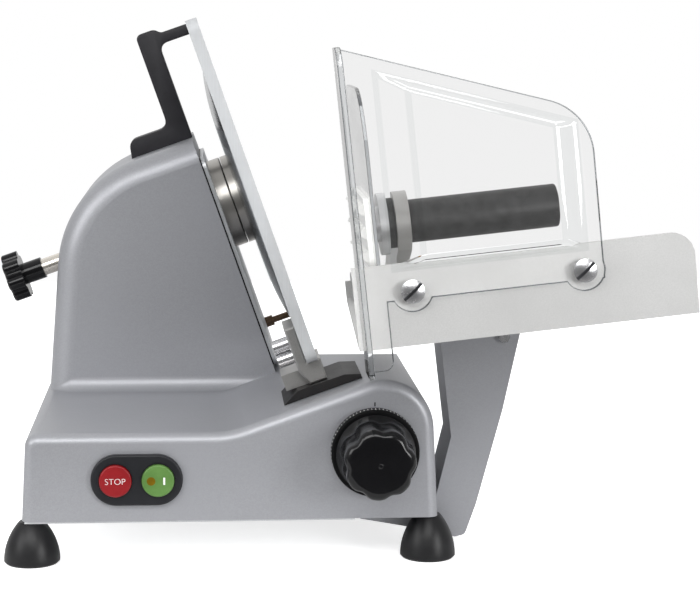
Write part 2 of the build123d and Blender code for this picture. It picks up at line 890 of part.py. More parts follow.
lamp_place = (button_places[1][0] + lamp_offset, switch_z)
button_face_y = front_y - bezel_height - button_proud
with BuildPart() as start_button:
    with BuildSketch(upright(front_y + button_tail)):
        with Locations(button_places[1]):
            Circle(button_r)
    extrude(amount=button_tail + bezel_height + button_proud)
    fillet(start_button.faces().sort_by(Axis.Y)[0].edges(), button_edge_r)
    with BuildSketch(upright(button_face_y)):
        with Locations(lamp_place):
            Circle(lamp_r)
    extrude(amount=-lamp_depth, mode=Mode.SUBTRACT)
save(start_button, "start_button")

with BuildPart() as start_lamp:
    with BuildSketch(upright(button_face_y + lamp_depth)):
        with Locations(lamp_place):
            Circle(lamp_r)
    extrude(amount=lamp_depth)
save(start_lamp, "start_lamp")

# Blade side of the tower: gasket, face plate and the fixed boss round the hub
plate_near = front_y + tower_front + face_plate_inset - blade_y
plate_far = front_y + tower_front + tower_depth - face_plate_inset - blade_y
with BuildPart() as tower_gasket:
    with BuildSketch(along_blade(casting_face)) as gasket_face:
        panel(plate_near, face_plate_bottom, plate_far, face_plate_top)
        fillet(gasket_face.vertices(), face_plate_corner_r)
        Circle(hub_hole_r, mode=Mode.SUBTRACT)
        with Locations(*face_screws_at):
            Circle(face_screw_r + fit, mode=Mode.SUBTRACT)
    extrude(amount=gasket_thickness)
save(tower_gasket, "tower_gasket")

with BuildPart() as tower_face_plate:
    with BuildSketch(along_blade(plate_back)) as plate_face:
        panel(plate_near, face_plate_bottom, plate_far, face_plate_top)
        fillet(plate_face.vertices(), face_plate_corner_r)
        Circle(hub_hole_r, mode=Mode.SUBTRACT)
        with Locations(*face_screws_at):
            Circle(face_screw_r + fit, mode=Mode.SUBTRACT)
    extrude(amount=face_plate_thickness)
    with BuildSketch(along_blade(plate_front)):
        with Locations(*face_screws_at):
            Circle(face_screw_head_r + fit)
    extrude(amount=-face_screw_head, mode=Mode.SUBTRACT)
save(tower_face_plate, "tower_face_plate")

with BuildPart() as face_plate_screws:
    with BuildSketch(along_blade(plate_front)):
        with Locations(*face_screws_at):
            Circle(face_screw_head_r)
    extrude(amount=-face_screw_head)
    with BuildSketch(along_blade(plate_front)):
        with Locations(*face_screws_at):
            Circle(face_screw_r)
    extrude(amount=-(plate_front - casting_face + wall))
save(face_plate_screws, "face_plate_screws")

with BuildPart() as hub_boss:
    with BuildSketch(along_blade(plate_front)):
        Circle(hub_flange_r)
        Circle(hub_r + boss_bore_gap, mode=Mode.SUBTRACT)
    extrude(amount=boss_length)
    fillet(hub_boss.edges().filter_by(GeomType.CIRCLE).sort_by(SortBy.RADIUS)[-1:], boss_edge_r)
save(hub_boss, "hub_boss")

# Fixed hollow spindle, and what turns on it: hub, bearings, pulley and blade
with BuildPart() as spindle:
    with BuildSketch(along_blade(spindle_foot)):
        Circle(spindle_r)
        Circle(spindle_bore_r, mode=Mode.SUBTRACT)
    extrude(amount=spindle_nose - spindle_foot)
save(spindle, "spindle")

bearing_starts = (blade_seat - hub_front - bearing_width, hub_back + (pulley_width - bearing_width) / 2)
with BuildPart() as blade_hub:
    with BuildSketch(half_section(0)):
        with BuildLine():
            Polyline(
                (hub_opening_r, blade_seat + blade_plate),
                (blade_bore_r - fit, blade_seat + blade_plate),
                (blade_bore_r - fit, blade_seat),
                (hub_flange_r, blade_seat),
                (hub_flange_r, hub_flange_back),
                (hub_r, hub_flange_back),
                (hub_r, hub_back),
                (bearing_r + fit, hub_back),
                (bearing_r + fit, blade_seat - hub_front),
                (hub_opening_r, blade_seat - hub_front),
                close=True,
            )
        make_face()
    revolve(axis=blade_axis)
    with BuildSketch(along_blade(blade_seat)):
        with PolarLocations(blade_screw_circle, blade_screw_count, start_angle=90):
            Circle(blade_screw_r + fit)
    extrude(amount=-hub_flange, mode=Mode.SUBTRACT)
save(blade_hub, "blade_hub")

with BuildPart() as hub_bearings:
    with BuildSketch(half_section(0)):
        for start in bearing_starts:
            panel(spindle_r + fit, start, bearing_r, start + bearing_width)
            for side in (start, start + bearing_width - bearing_shield):
                panel(
                    spindle_r + bearing_race,
                    side,
                    bearing_r - bearing_race,
                    side + bearing_shield,
                    mode=Mode.SUBTRACT,
                )
    revolve(axis=blade_axis)
save(hub_bearings, "hub_bearings")

driven_pulley = grooved_pulley(driven_pulley_r, hub_r + fit, 0)
save(driven_pulley, "driven_pulley")

dish_middle_r = (blade_flat_r + blade_shoulder_r) / 2
dish_middle = (blade_seat - blade_shoulder_back) / 2 - blade_bulge
dish_slope = (blade_dish - blade_shoulder_back) / (blade_shoulder_r - blade_flat_r)
recess_floor = -blade_shoulder_back - dish_slope * (blade_shoulder_r - blade_recess_r) + blade_plate
with BuildPart() as blade:
    with BuildSketch(half_section(0)):
        with BuildLine():
            Polyline((blade_bore_r, blade_seat), (blade_flat_r, blade_seat))
            ThreePointArc(
                (blade_flat_r, blade_seat),
                (dish_middle_r, dish_middle),
                (blade_shoulder_r, -blade_shoulder_back),
            )
            Polyline(
                (blade_shoulder_r, -blade_shoulder_back),
                (blade_bevel_r, -blade_bevel_back),
                (blade_r, -fit),
                (blade_r, 0),
                (blade_recess_r + blade_plate, -blade_recess_lip),
                (blade_recess_r, -blade_recess_lip - blade_plate),
                (blade_recess_r, recess_floor),
                (blade_flat_r, blade_seat + blade_plate),
                (blade_bore_r, blade_seat + blade_plate),
                (blade_bore_r, blade_seat),
            )
        make_face()
    revolve(axis=blade_axis)
    with BuildSketch(along_blade(blade_seat)):
        with PolarLocations(blade_screw_circle, blade_screw_count, start_angle=90):
            Circle(blade_screw_r + fit)
    extrude(amount=blade_plate, mode=Mode.SUBTRACT)
save(blade, "blade")

with BuildPart() as blade_screws:
    with BuildSketch(along_blade(blade_seat + blade_plate)):
        with PolarLocations(blade_screw_circle, blade_screw_count, start_angle=90):
            Circle(blade_screw_head_r)
    extrude(amount=blade_screw_head)
    with BuildSketch(along_blade(blade_seat + blade_plate)):
        with PolarLocations(blade_screw_circle, blade_screw_count, start_angle=90):
            Circle(blade_screw_r)
    extrude(amount=-(blade_plate + hub_flange - 1))
save(blade_screws, "blade_screws")

# Blade cover, drawn against the spindle's nose by the tie rod and its knob
with BuildPart() as blade_cover:
    with BuildSketch(along_blade(cover_face)):
        Circle(cover_r)
    extrude(amount=-cover_plate)
    with BuildSketch(along_blade(spindle_nose)):
        Circle(cover_boss_r)
    extrude(amount=cover_face - spindle_nose)
    with BuildSketch(along_blade(spindle_nose)):
        Circle(tie_thread_r + fit)
    extrude(amount=tie_tip + seat_gap - spindle_nose, mode=Mode.SUBTRACT)
save(blade_cover, "blade_cover")

with BuildPart() as tie_rod:
    with BuildSketch(along_blade(tie_knob_face + tie_rod_end)):
        Circle(tie_rod_r)
    extrude(amount=spindle_nose - 1 - tie_knob_face - tie_rod_end)
    with BuildSketch(along_blade(spindle_nose - 1)):
        Circle(tie_thread_r)
    extrude(amount=tie_tip - spindle_nose + 1)
save(tie_rod, "tie_rod")

with BuildPart() as tie_rod_knob:
    with BuildSketch(along_blade(tie_knob_face)):
        Circle(tie_core_r)
        with PolarLocations(tie_knob_r - tie_lobe_r, tie_lobes, start_angle=90):
            Circle(tie_lobe_r)
    extrude(amount=tie_knob_head)
    fillet(tie_rod_knob.faces().sort_by(blade_axis)[0].edges(), tie_knob_edge_r)
    with BuildSketch(along_blade(tie_knob_face + tie_knob_head)):
        Circle(tie_neck_r)
    extrude(amount=tie_neck)
    with BuildSketch(along_blade(tie_knob_face + tie_rod_end)):
        Circle(tie_rod_r + fit)
    extrude(amount=tie_knob_head + tie_neck - tie_rod_end, mode=Mode.SUBTRACT)
save(tie_rod_knob, "tie_rod_knob")

# Ring guard round the blade, from the top over the rear to the foot
with BuildPart() as ring_guard:
    with BuildSketch(half_section(0)):
        panel(ring_inner_r, ring_back, ring_outer_r, ring_back + ring_wall)
        panel(ring_outer_r - ring_wall, ring_back, ring_outer_r, ring_front)
    revolve(axis=blade_axis)
    reach = 2 * ring_outer_r
    with BuildSketch(along_blade(ring_back)):
        Polygon(
            (0, 0),
            (-reach * sin(radians(ring_top_lead)), reach * cos(radians(ring_top_lead))),
            (-reach, reach),
            (-reach, -reach),
            (reach * sin(radians(ring_foot_lag)), -reach),
            (reach * sin(radians(ring_foot_lag)), -reach * cos(radians(ring_foot_lag))),
            align=None,
        )
    extrude(amount=ring_front - ring_back, mode=Mode.SUBTRACT)
save(ring_guard, "ring_guard")

post_circle = (ring_inner_r + ring_outer_r) / 2
post_place = (post_circle * sin(radians(post_angle)), -post_circle * cos(radians(post_angle)))
with BuildPart() as ring_post:
    with BuildSketch(along_blade(plate_front)):
        with Locations(post_place):
            RegularPolygon(post_hex / 2, 6, major_radius=False)
    extrude(amount=post_nut)
    with BuildSketch(along_blade(plate_front)):
        with Locations(post_place):
            Circle(post_r)
    extrude(amount=ring_back - plate_front)
save(ring_post, "ring_post")

with BuildPart() as guard_stay:
    with BuildSketch(blade_side(blade_y - stay_depth / 2)) as stay_face:
        strut_left = stay_right - stay_strut
        foot_top = tower_top_rise + stay_foot
        inner_corner = (stay_right, stay_arm_bottom)
        Polygon(
            (stay_left, tower_top_rise),
            (stay_left + stay_chamfer, foot_top),
            (strut_left - stay_gusset, foot_top),
            (strut_left, foot_top + stay_gusset),
            (strut_left, stay_top - stay_chamfer),
            (strut_left + stay_chamfer, stay_top),
            (stay_right, stay_top),
            (stay_right + stay_top - stay_arm_top, stay_arm_top),
            (ring_back, stay_arm_top),
            (ring_back, stay_arm_bottom),
            inner_corner,
            (stay_right, tower_top_rise),
            align=None,
        )
        fillet(stay_face.vertices().sort_by_distance(inner_corner)[0], stay_inner_r)
    extrude(amount=-stay_depth)
    stay_ends = guard_stay.faces().sort_by(Axis.Y)
    soft = [
        e
        for e in stay_ends[0].edges() + stay_ends[-1].edges()
        if tower_top_rise + 1 < to_blade(e.center().X, e.center().Z)[1]
        and to_blade(e.center().X, e.center().Z)[0] < ring_back - 1
    ]
    fillet(soft, stay_edge_r)
save(guard_stay, "guard_stay")

# Motor with its flange on the tower's ribs, its pulley and the belt
with BuildPart() as motor:
    with BuildSketch(along_blade(motor_front)):
        with Locations((0, -motor_drop)):
            Circle(motor_r)
    extrude(amount=-motor_length)
    back_rim = motor.edges().filter_by(GeomType.CIRCLE).sort_by(blade_axis)[0]
    fillet(back_rim, motor_edge_r)
    with BuildSketch(along_blade(motor_front)):
        panel(
            tower_near + wall + seat_gap,
            motor_flange_bottom,
            tower_far - wall - seat_gap,
            motor_flange_top,
        )
    extrude(amount=motor_flange)
    with BuildSketch(along_blade(motor_flange_face)):
        with Locations((0, -motor_drop)):
            Circle(motor_shaft_r + fit)
    extrude(amount=-motor_flange - motor_bore, mode=Mode.SUBTRACT)
save(motor, "motor")

with BuildPart() as motor_shaft:
    with BuildSketch(along_blade(motor_front - motor_bore + seat_gap)):
        with Locations((0, -motor_drop)):
            Circle(motor_shaft_r)
    extrude(amount=pulley_front - motor_front + motor_bore - seat_gap)
save(motor_shaft, "motor_shaft")

drive_pulley = grooved_pulley(drive_pulley_r, motor_shaft_r + fit, -motor_drop)
save(drive_pulley, "drive_pulley")

with BuildPart() as drive_belt:
    with BuildSketch(along_blade(hub_back + belt_side_gap)):
        Circle(driven_pulley_r + belt_gap + belt_thickness)
        with Locations((0, -motor_drop)):
            Circle(drive_pulley_r + belt_gap + belt_thickness)
        make_hull()
    extrude(amount=pulley_width - 2 * belt_side_gap)
    with BuildSketch(along_blade(hub_back + belt_side_gap)):
        Circle(driven_pulley_r + belt_gap)
        with Locations((0, -motor_drop)):
            Circle(drive_pulley_r + belt_gap)
        make_hull()
    extrude(amount=pulley_width - 2 * belt_side_gap, mode=Mode.SUBTRACT)
save(drive_belt, "drive_belt")

# Gauge plate, cut round the blade
bolt_places = [(bracket_middle - blade_y, rise) for rise in gauge_bolt_rises]
with BuildPart() as gauge_plate:
    with BuildSketch(along_blade(gauge_back)) as gauge_face:
        panel(gauge_front - blade_y, gauge_bottom, gauge_rear - blade_y, gauge_top)
        fillet(gauge_face.vertices().group_by(Axis.X)[0], gauge_corner_r)
        Circle(blade_r + gauge_blade_gap, mode=Mode.SUBTRACT)
    extrude(amount=gauge_thickness)
    with BuildSketch(along_blade(gauge_back)):
        with Locations(*bolt_places):
            Circle(gauge_bolt_r + fit)
    extrude(amount=gauge_bolt_end + seat_gap - gauge_back, mode=Mode.SUBTRACT)
save(gauge_plate, "gauge_plate")

# Bracket that carries the gauge plate: a foot under the plate, and a lobe on its other side
bracket_step = gauge_bottom - seat_gap
with BuildPart() as gauge_bracket:
    with BuildSketch(blade_side(bracket_front)):
        Polygon(
            (bracket_back, bracket_top),
            (gauge_back, bracket_top),
            (gauge_back, bracket_step),
            (bracket_foot_right, bracket_step),
            (bracket_foot_right, bracket_bottom),
            (bracket_back + bracket_cut_side, bracket_bottom),
            (bracket_back, bracket_cut_top),
            align=None,
        )
    extrude(amount=-bracket_width)
    bracket_ends = gauge_bracket.faces().sort_by(Axis.Y)
    chamfer(bracket_ends[0].edges() + bracket_ends[-1].edges(), bracket_edge)
    with BuildSketch(blade_side(bracket_front + bracket_lobe_inset)):
        panel(bracket_back - bracket_lobe, bracket_bottom, bracket_back + bracket_cut_side, bracket_lobe_top)
    extrude(amount=-(bracket_width - 2 * bracket_lobe_inset))
    with BuildSketch(along_blade(bracket_back)):
        with Locations(*bolt_places):
            Circle(gauge_bolt_r + fit)
    extrude(amount=bracket_thickness, mode=Mode.SUBTRACT)
save(gauge_bracket, "gauge_bracket")

with BuildPart() as gauge_bolts:
    with BuildSketch(along_blade(bracket_back)):
        with Locations(*bolt_places):
            Circle(gauge_bolt_head_r)
    extrude(amount=-gauge_bolt_head)
    with BuildSketch(along_blade(bracket_back - gauge_bolt_head)):
        with Locations(*bolt_places):
            RegularPolygon(gauge_bolt_key / 2, 6, major_radius=False)
    extrude(amount=gauge_bolt_key_depth, mode=Mode.SUBTRACT)
    with BuildSketch(along_blade(bracket_back)):
        with Locations(*bolt_places):
            Circle(gauge_bolt_r)
    extrude(amount=gauge_bolt_end - bracket_back)
save(gauge_bolts, "gauge_bolts")

# Post from the bracket's foot through the ramp to the slide
post_front = bracket_front + gauge_post_inset
post_width = bracket_width - 2 * gauge_post_inset
with BuildPart() as gauge_post:
    with BuildSketch(blade_side(post_front)):
        panel(gauge_post_left, slide_high, gauge_post_right, bracket_bottom)
    extrude(amount=-post_width)
save(gauge_post, "gauge_post")

# Black cover over the slot, with a window for the post
with BuildPart() as slot_cover:
    with BuildSketch(blade_side(bracket_front - cover_side)):
        Polygon(
            (cover_left, cover_foot),
            (cover_right, cover_foot),
            (cover_right, cover_foot + cover_low),
            (cover_break, cover_top),
            (cover_shoulder, cover_top),
            align=None,
        )
    extrude(amount=-(bracket_width + 2 * cover_side))
    with BuildSketch(blade_side(post_front - seat_gap)):
        panel(gauge_post_left - seat_gap, cover_foot, gauge_post_right + seat_gap, cover_top)
    extrude(amount=-(post_width + 2 * seat_gap), mode=Mode.SUBTRACT)
save(slot_cover, "slot_cover")

# Slide block under the ramp, its follower pin in the cam, and its two guide rods
dial_along, dial_rise = to_blade(dial_x, dial_z)
pin_along = dial_along - cam_start
cam_rear_y = front_y + cam_front + cam_thickness
with BuildPart() as gauge_slide_block:
    with BuildSketch(blade_side(bracket_front)):
        panel(slide_left, slide_low, slide_right, slide_high)
    extrude(amount=-bracket_width)
    with BuildSketch(blade_side(cam_rear_y + seat_gap)):
        with Locations((pin_along, dial_rise)):
            Rectangle(follower_arm, follower_arm)
    extrude(amount=-(bracket_front + follower_arm - cam_rear_y - seat_gap))
    with BuildSketch(blade_side(front_y + cam_front + seat_gap)):
        with Locations((pin_along, dial_rise)):
            Circle(follower_r)
    extrude(amount=-cam_thickness)
    with BuildSketch(along_blade(slide_left)):
        with Locations(*[(depth, guide_rod_level) for depth in guide_rod_depths]):
            Circle(guide_rod_r + fit)
    extrude(amount=slide_right - slide_left, mode=Mode.SUBTRACT)
save(gauge_slide_block, "gauge_slide_block")

with BuildPart() as gauge_guide_rods:
    with BuildSketch(along_blade(guide_rod_left)):
        with Locations(*[(depth, guide_rod_level) for depth in guide_rod_depths]):
            Circle(guide_rod_r)
    extrude(amount=guide_rod_right - guide_rod_left)
save(gauge_guide_rods, "gauge_guide_rods")

# Slice thickness dial: numbered ring, lobed knob, shaft and spiral cam
dial_axis = Axis((dial_x, front_y, dial_z), (0, 1, 0))
dial_section = Plane(origin=(dial_x, front_y, dial_z), x_dir=(1, 0, 0), z_dir=(0, 0, 1))
dial_face = -seat_gap - dial_thickness
with BuildPart() as dial_ring:
    with BuildSketch(dial_section):
        panel(dial_shaft_r + fit, dial_face, dial_r, -seat_gap)
    revolve(axis=dial_axis)
    front_edge = dial_ring.edges().filter_by(GeomType.CIRCLE).sort_by(Axis.Y)[:2].sort_by(SortBy.RADIUS)[-1]
    fillet(front_edge, dial_edge_r)
save(dial_ring, "dial_ring")

knob_face = dial_face - knob_length
shaft_end = dial_face - dial_shaft_grip
with BuildPart() as thickness_knob:
    with BuildSketch(dial_section):
        with BuildLine():
            Polyline(
                (dial_shaft_r + fit, dial_face),
                (knob_skirt_r, dial_face),
                (knob_skirt_r, dial_face - knob_skirt),
            )
            ThreePointArc(
                (knob_skirt_r, dial_face - knob_skirt),
                (knob_waist_r + knob_waist_bulge, dial_face - (knob_skirt + knob_waist) / 2),
                (knob_waist_r, dial_face - knob_waist),
            )
            Polyline(
                (knob_waist_r, dial_face - knob_waist),
                (knob_face_r, knob_face + knob_edge),
                (knob_face_r - knob_edge, knob_face),
                (0, knob_face),
                (0, shaft_end - seat_gap),
                (dial_shaft_r + fit, shaft_end - seat_gap),
                (dial_shaft_r + fit, dial_face),
            )
        make_face()
    revolve(axis=dial_axis)
    with BuildSketch(upright(front_y + dial_face - knob_scallop_start)):
        with Locations((dial_x, dial_z)):
            with PolarLocations(knob_scallop_circle, knob_lobes, start_angle=90):
                Circle(knob_scallop_r)
    extrude(amount=knob_length, mode=Mode.SUBTRACT)
save(thickness_knob, "thickness_knob")

with BuildPart() as knob_shaft:
    with BuildSketch(upright(front_y + shaft_end)):
        with Locations((dial_x, dial_z)):
            Circle(dial_shaft_r)
    extrude(amount=-(cam_front + cam_thickness + shaft_tail - shaft_end))
save(knob_shaft, "knob_shaft")

cam_lead = atan2(gauge_travel, radians(dial_turn) * cam_start)
slot_half = (follower_r + cam_slot_gap) / cos(cam_lead)
pin_direction = 180 + blade_tilt


def spiral(step, offset):
    """Point of the cam slot, seen from the front, beside its middle line by an offset."""
    part_turn = step / (cam_points - 1)
    angle = radians(pin_direction - part_turn * dial_turn)
    radius = cam_start + part_turn * gauge_travel + offset
    return dial_x + radius * cos(angle), dial_z + radius * sin(angle)


with BuildPart() as cam_disc:
    with BuildSketch(upright(front_y + cam_front)):
        with Locations((dial_x, dial_z)):
            Circle(cam_r)
            Circle(dial_shaft_r + fit, mode=Mode.SUBTRACT)
    extrude(amount=-cam_thickness)
    with BuildSketch(upright(front_y + cam_front)):
        with BuildLine():
            outer = Spline(*[spiral(step, slot_half) for step in range(cam_points)])
            inner = Spline(*[spiral(step, -slot_half) for step in range(cam_points)])
            Line(outer @ 0, inner @ 0)
            Line(outer @ 1, inner @ 1)
        make_face()
        with Locations(spiral(0, 0), spiral(cam_points - 1, 0)):
            Circle(slot_half)
    extrude(amount=-cam_thickness, mode=Mode.SUBTRACT)
save(cam_disc, "cam_disc")

# Carriage slide: rod, rail and the block that runs on both
with BuildPart() as carriage_rod:
    with BuildSketch(upright(rod_front_y)):
        with Locations((rod_x, rod_z)):
            Circle(rod_r)
    extrude(amount=-(rod_end_y - rod_front_y))
save(carriage_rod, "carriage_rod")

with BuildPart() as carriage_rail:
    with BuildSketch(upright(rod_front_y)):
        with Locations((rail_x, rail_z)):
            Rectangle(rail_size, rail_size)
    extrude(amount=-(rod_end_y - rod_front_y))
save(carriage_rail, "carriage_rail")

block_front_y = arm_front + arm_ear + seat_gap
block_length = arm_depth - 2 * arm_ear - 2 * seat_gap
with BuildPart() as carriage_slide_block:
    with BuildSketch(upright(block_front_y)):
        panel(rail_x - slide_fork, rail_z - slide_fork, rod_x, rail_z + slide_fork)
        with Locations((rod_x, rod_z)):
            Circle(slide_hub_r)
            Circle(rod_r + fit, mode=Mode.SUBTRACT)
        with Locations((rail_x, rail_z)):
            Rectangle(rail_size + 2 * seat_gap, rail_size + 2 * seat_gap, mode=Mode.SUBTRACT)
    extrude(amount=-block_length)
save(carriage_slide_block, "carriage_slide_block")

# Carriage arm: a hollow casting with a foot under the base and two ears on the rod
rod_along, rod_rise = to_tray(rod_x, rod_z)
stop_corner = to_tray(base_right + seat_gap, base_bottom + arm_stop_lift)
with BuildPart() as carriage_arm:
    with BuildSketch(tray_side(arm_front)) as arm_face:
        Polygon(
            (arm_top_left, 0),
            arm_waist,
            stop_corner,
            arm_foot_corner,
            arm_foot_middle,
            arm_foot_end,
            (arm_foot_end[0], arm_foot_end[1] - arm_foot),
            (arm_foot_middle[0], arm_foot_middle[1] - arm_foot),
            arm_sole,
            arm_heel,
            arm_shin,
            arm_elbow,
            (arm_top_right, 0),
            align=None,
        )
        fillet(arm_face.vertices().sort_by_distance(arm_heel)[0], arm_heel_r)
    extrude(amount=-arm_depth)
    for ear_y in (arm_front, arm_front + arm_depth - arm_ear):
        with BuildSketch(tray_side(ear_y)):
            with Locations((rod_along, rod_rise)):
                Circle(slide_hub_r)
            Polygon(
                (rod_along - slide_hub_r, rod_rise),
                (rod_along + slide_hub_r, rod_rise),
                (arm_ear_foot[1], arm_foot_middle[1] - arm_foot / 2),
                (arm_ear_foot[0], arm_foot_middle[1] - arm_foot / 2),
                align=None,
            )
        extrude(amount=-arm_ear)
    with BuildSketch(tray_side(arm_front)):
        with Locations((rod_along, rod_rise)):
            Circle(rod_r + fit)
    extrude(amount=-arm_depth, mode=Mode.SUBTRACT)
    with BuildSketch(tray_side(arm_front + arm_wall)):
        Polygon(
            (arm_top_left + arm_wall, 0),
            (arm_waist[0] + arm_wall, arm_waist[1]),
            (arm_waist[0] + arm_wall, arm_pocket_floor),
            (arm_pocket_narrow, arm_pocket_floor),
            (arm_elbow[0] - arm_wall, arm_elbow[1]),
            (arm_top_right - arm_wall, 0),
            align=None,
        )
    extrude(amount=-(arm_depth - arm_wall), mode=Mode.SUBTRACT)
    with BuildSketch(tray_side(arm_front)):
        with Locations((tray_bolt_x, tray_bolt_rise)):
            Circle(tray_bolt_r + fit)
    extrude(amount=-arm_wall, mode=Mode.SUBTRACT)
save(carriage_arm, "carriage_arm")

# Tray, with a tongue that is bolted inside the arm and two lugs for the pusher's rod
arm_flare = (arm_top_right - arm_elbow[0]) / -arm_elbow[1]
tray_tongue_right = arm_top_right - arm_wall - arm_flare * tray_tongue_drop - seat_gap
tray_plan = Plane(
    origin=(tray_x, tray_front, tray_z),
    x_dir=(cos(slope), 0, sin(slope)),
    z_dir=(-sin(slope), 0, cos(slope)),
)
with BuildPart() as tray:
    with BuildSketch(tray_side(tray_front)):
        panel(0, 0, tray_length, tray_wall)
    extrude(amount=-tray_depth)
    with BuildSketch(tray_side(tray_front)) as front_wall:
        panel(0, 0, tray_length, tray_height)
        fillet(front_wall.vertices().sort_by_distance((tray_length, tray_height))[0], tray_corner_r)
        with Locations(*guard_screws_at):
            Circle(guard_screw_shank_r + fit, mode=Mode.SUBTRACT)
    extrude(amount=-tray_wall)
    with BuildSketch(tray_side(tray_front + tray_depth - tray_wall)):
        panel(0, 0, tray_length, tray_rear_height)
    extrude(amount=-tray_wall)
    with BuildSketch(tray_plan):
        Polygon((0, 0), (tray_taper, tray_depth), (0, tray_depth), align=None)
    extrude(amount=tray_height, mode=Mode.SUBTRACT)
    for lug_left in (pusher_rod_left, pusher_rod_right - pusher_lug):
        with BuildSketch(along_tray(lug_left)):
            with Locations((pusher_rod_y, pusher_rod_rise)):
                Circle(pusher_rod_r + pusher_lug_wall)
            panel(
                pusher_rod_y - pusher_rod_r - pusher_lug_wall,
                tray_wall,
                pusher_rod_y + pusher_rod_r + pusher_lug_wall,
                pusher_rod_rise,
            )
            with Locations((pusher_rod_y, pusher_rod_rise)):
                Circle(pusher_rod_r + fit, mode=Mode.SUBTRACT)
        extrude(amount=pusher_lug)
    with BuildSketch(tray_side(arm_front + arm_wall)):
        panel(tray_tongue_left, -tray_tongue_drop, tray_tongue_right, 0)
        with Locations((tray_bolt_x, tray_bolt_rise)):
            Circle(tray_bolt_r + fit, mode=Mode.SUBTRACT)
    extrude(amount=-tray_tongue)
save(tray, "tray")

with BuildPart() as tray_bolt:
    with BuildSketch(tray_side(arm_front)):
        with Locations((tray_bolt_x, tray_bolt_rise)):
            RegularPolygon(tray_bolt_hex / 2, 6, major_radius=False)
    extrude(amount=tray_bolt_head)
    with BuildSketch(tray_side(arm_front)):
        with Locations((tray_bolt_x, tray_bolt_rise)):
            Circle(tray_bolt_r)
    extrude(amount=-(arm_wall + tray_tongue - tray_bolt_end))
save(tray_bolt, "tray_bolt")

# Clear hand guard: panel with a raised field, a tab below and a flange towards the operator
guard_fall = (guard_top_left - guard_top_right) / (guard_right - guard_left)


def guard_edge(along):
    """Height of the guard's sloping top edge."""
    return guard_top_left - guard_fall * (along - guard_left)


outer_field = (
    (guard_field_left, guard_field_low),
    (guard_field_left, guard_edge(guard_field_left) - guard_field_top),
    (guard_field_right, guard_edge(guard_field_right) - guard_field_top),
    (guard_field_right, guard_field_low),
)
field_left = guard_field_left + guard_field_left_slope
field_right = guard_field_right - guard_field_slope
field_top = guard_field_top + guard_field_top_slope
inner_field = (
    (field_left, guard_field_low + guard_field_low_slope),
    (field_left, guard_edge(field_left) - field_top),
    (field_right, guard_edge(field_right) - field_top),
    (field_right, guard_field_low + guard_field_low_slope),
)
guard_face_y = tray_front - guard_thickness
with BuildPart() as guard:
    with BuildSketch(tray_side(tray_front)) as guard_face:
        top_corner = (guard_right, guard_top_right)
        Polygon(
            (guard_left, guard_low),
            (guard_left, guard_top_left),
            top_corner,
            (guard_right, guard_low),
            align=None,
        )
        fillet(guard_face.vertices().sort_by_distance(top_corner)[0], guard_corner_r)
        with Locations(*guard_screws_at):
            Circle(guard_lobe_r)
        panel(guard_left, guard_tab_foot, guard_tab, guard_low + guard_tab)
        fillet(guard_face.vertices().sort_by_distance((guard_tab, guard_tab_foot))[0], guard_tab_r)
        with Locations(*guard_screws_at):
            Circle(guard_screw_shank_r + fit, mode=Mode.SUBTRACT)
    extrude(amount=guard_thickness)
    with BuildSketch(along_tray(guard_left)) as flange_face:
        flange_top = (guard_face_y - guard_flange, guard_top_left)
        panel(guard_face_y - guard_flange, guard_tab_foot, guard_face_y, guard_top_left)
        fillet(flange_face.vertices().sort_by_distance(flange_top)[0], guard_flange_r)
    extrude(amount=guard_thickness)
    with BuildSketch(tray_side(guard_face_y)):
        Polygon(*outer_field, align=None)
    with BuildSketch(tray_side(guard_face_y - guard_field_rise)):
        Polygon(*inner_field, align=None)
    loft()
    with BuildSketch(tray_side(tray_front)):
        Polygon(*outer_field, align=None)
    with BuildSketch(tray_side(tray_front - guard_field_rise)):
        Polygon(*inner_field, align=None)
    loft(mode=Mode.SUBTRACT)
save(guard, "guard")

with BuildPart() as guard_screws:
    with BuildSketch(tray_side(guard_face_y)):
        with Locations(*guard_screws_at):
            Circle(guard_screw_r)
    extrude(amount=guard_screw_head)
    fillet(guard_screws.faces().sort_by(Axis.Y)[:2].edges(), guard_screw_edge_r)
    with BuildSketch(tray_side(guard_face_y - guard_screw_head)):
        with Locations(*guard_screws_at):
            Rectangle(2 * guard_screw_r, guard_screw_slot, rotation=guard_screw_turn)
    extrude(amount=-guard_screw_slot_depth, mode=Mode.SUBTRACT)
    with BuildSketch(tray_side(guard_face_y)):
        with Locations(*guard_screws_at):
            Circle(guard_screw_shank_r)
    extrude(amount=-(guard_thickness + tray_wall + guard_screw_tail))
save(guard_screws, "guard_screws")

# Pusher: rod on the tray, bush, arm, clear shield, toothed plate and grip
lug_right = pusher_rod_left + pusher_lug
with BuildPart() as pusher_rod:
    with BuildSketch(along_tray(pusher_rod_left)):
        with Locations((pusher_rod_y, pusher_rod_rise)):
            Circle(pusher_rod_r)
    extrude(amount=pusher_rod_right - pusher_rod_left)
save(pusher_rod, "pusher_rod")

with BuildPart() as pusher_bush:
    with BuildSketch(along_tray(lug_right + seat_gap)):
        with Locations((pusher_rod_y, pusher_rod_rise)):
            Circle(pusher_bush_r)
    extrude(amount=pusher_bush_right - lug_right - seat_gap)
    for flange_left in (pusher_hub_left - seat_gap - pusher_bush_flange, pusher_hub_right + seat_gap):
        with BuildSketch(along_tray(flange_left)):
            with Locations((pusher_rod_y, pusher_rod_rise)):
                Circle(pusher_bush_flange_r)
        extrude(amount=pusher_bush_flange)
    with BuildSketch(along_tray(lug_right + seat_gap)):
        with Locations((pusher_rod_y, pusher_rod_rise)):
            Circle(pusher_rod_r + fit)
    extrude(amount=pusher_bush_right - lug_right - seat_gap, mode=Mode.SUBTRACT)
save(pusher_bush, "pusher_bush")

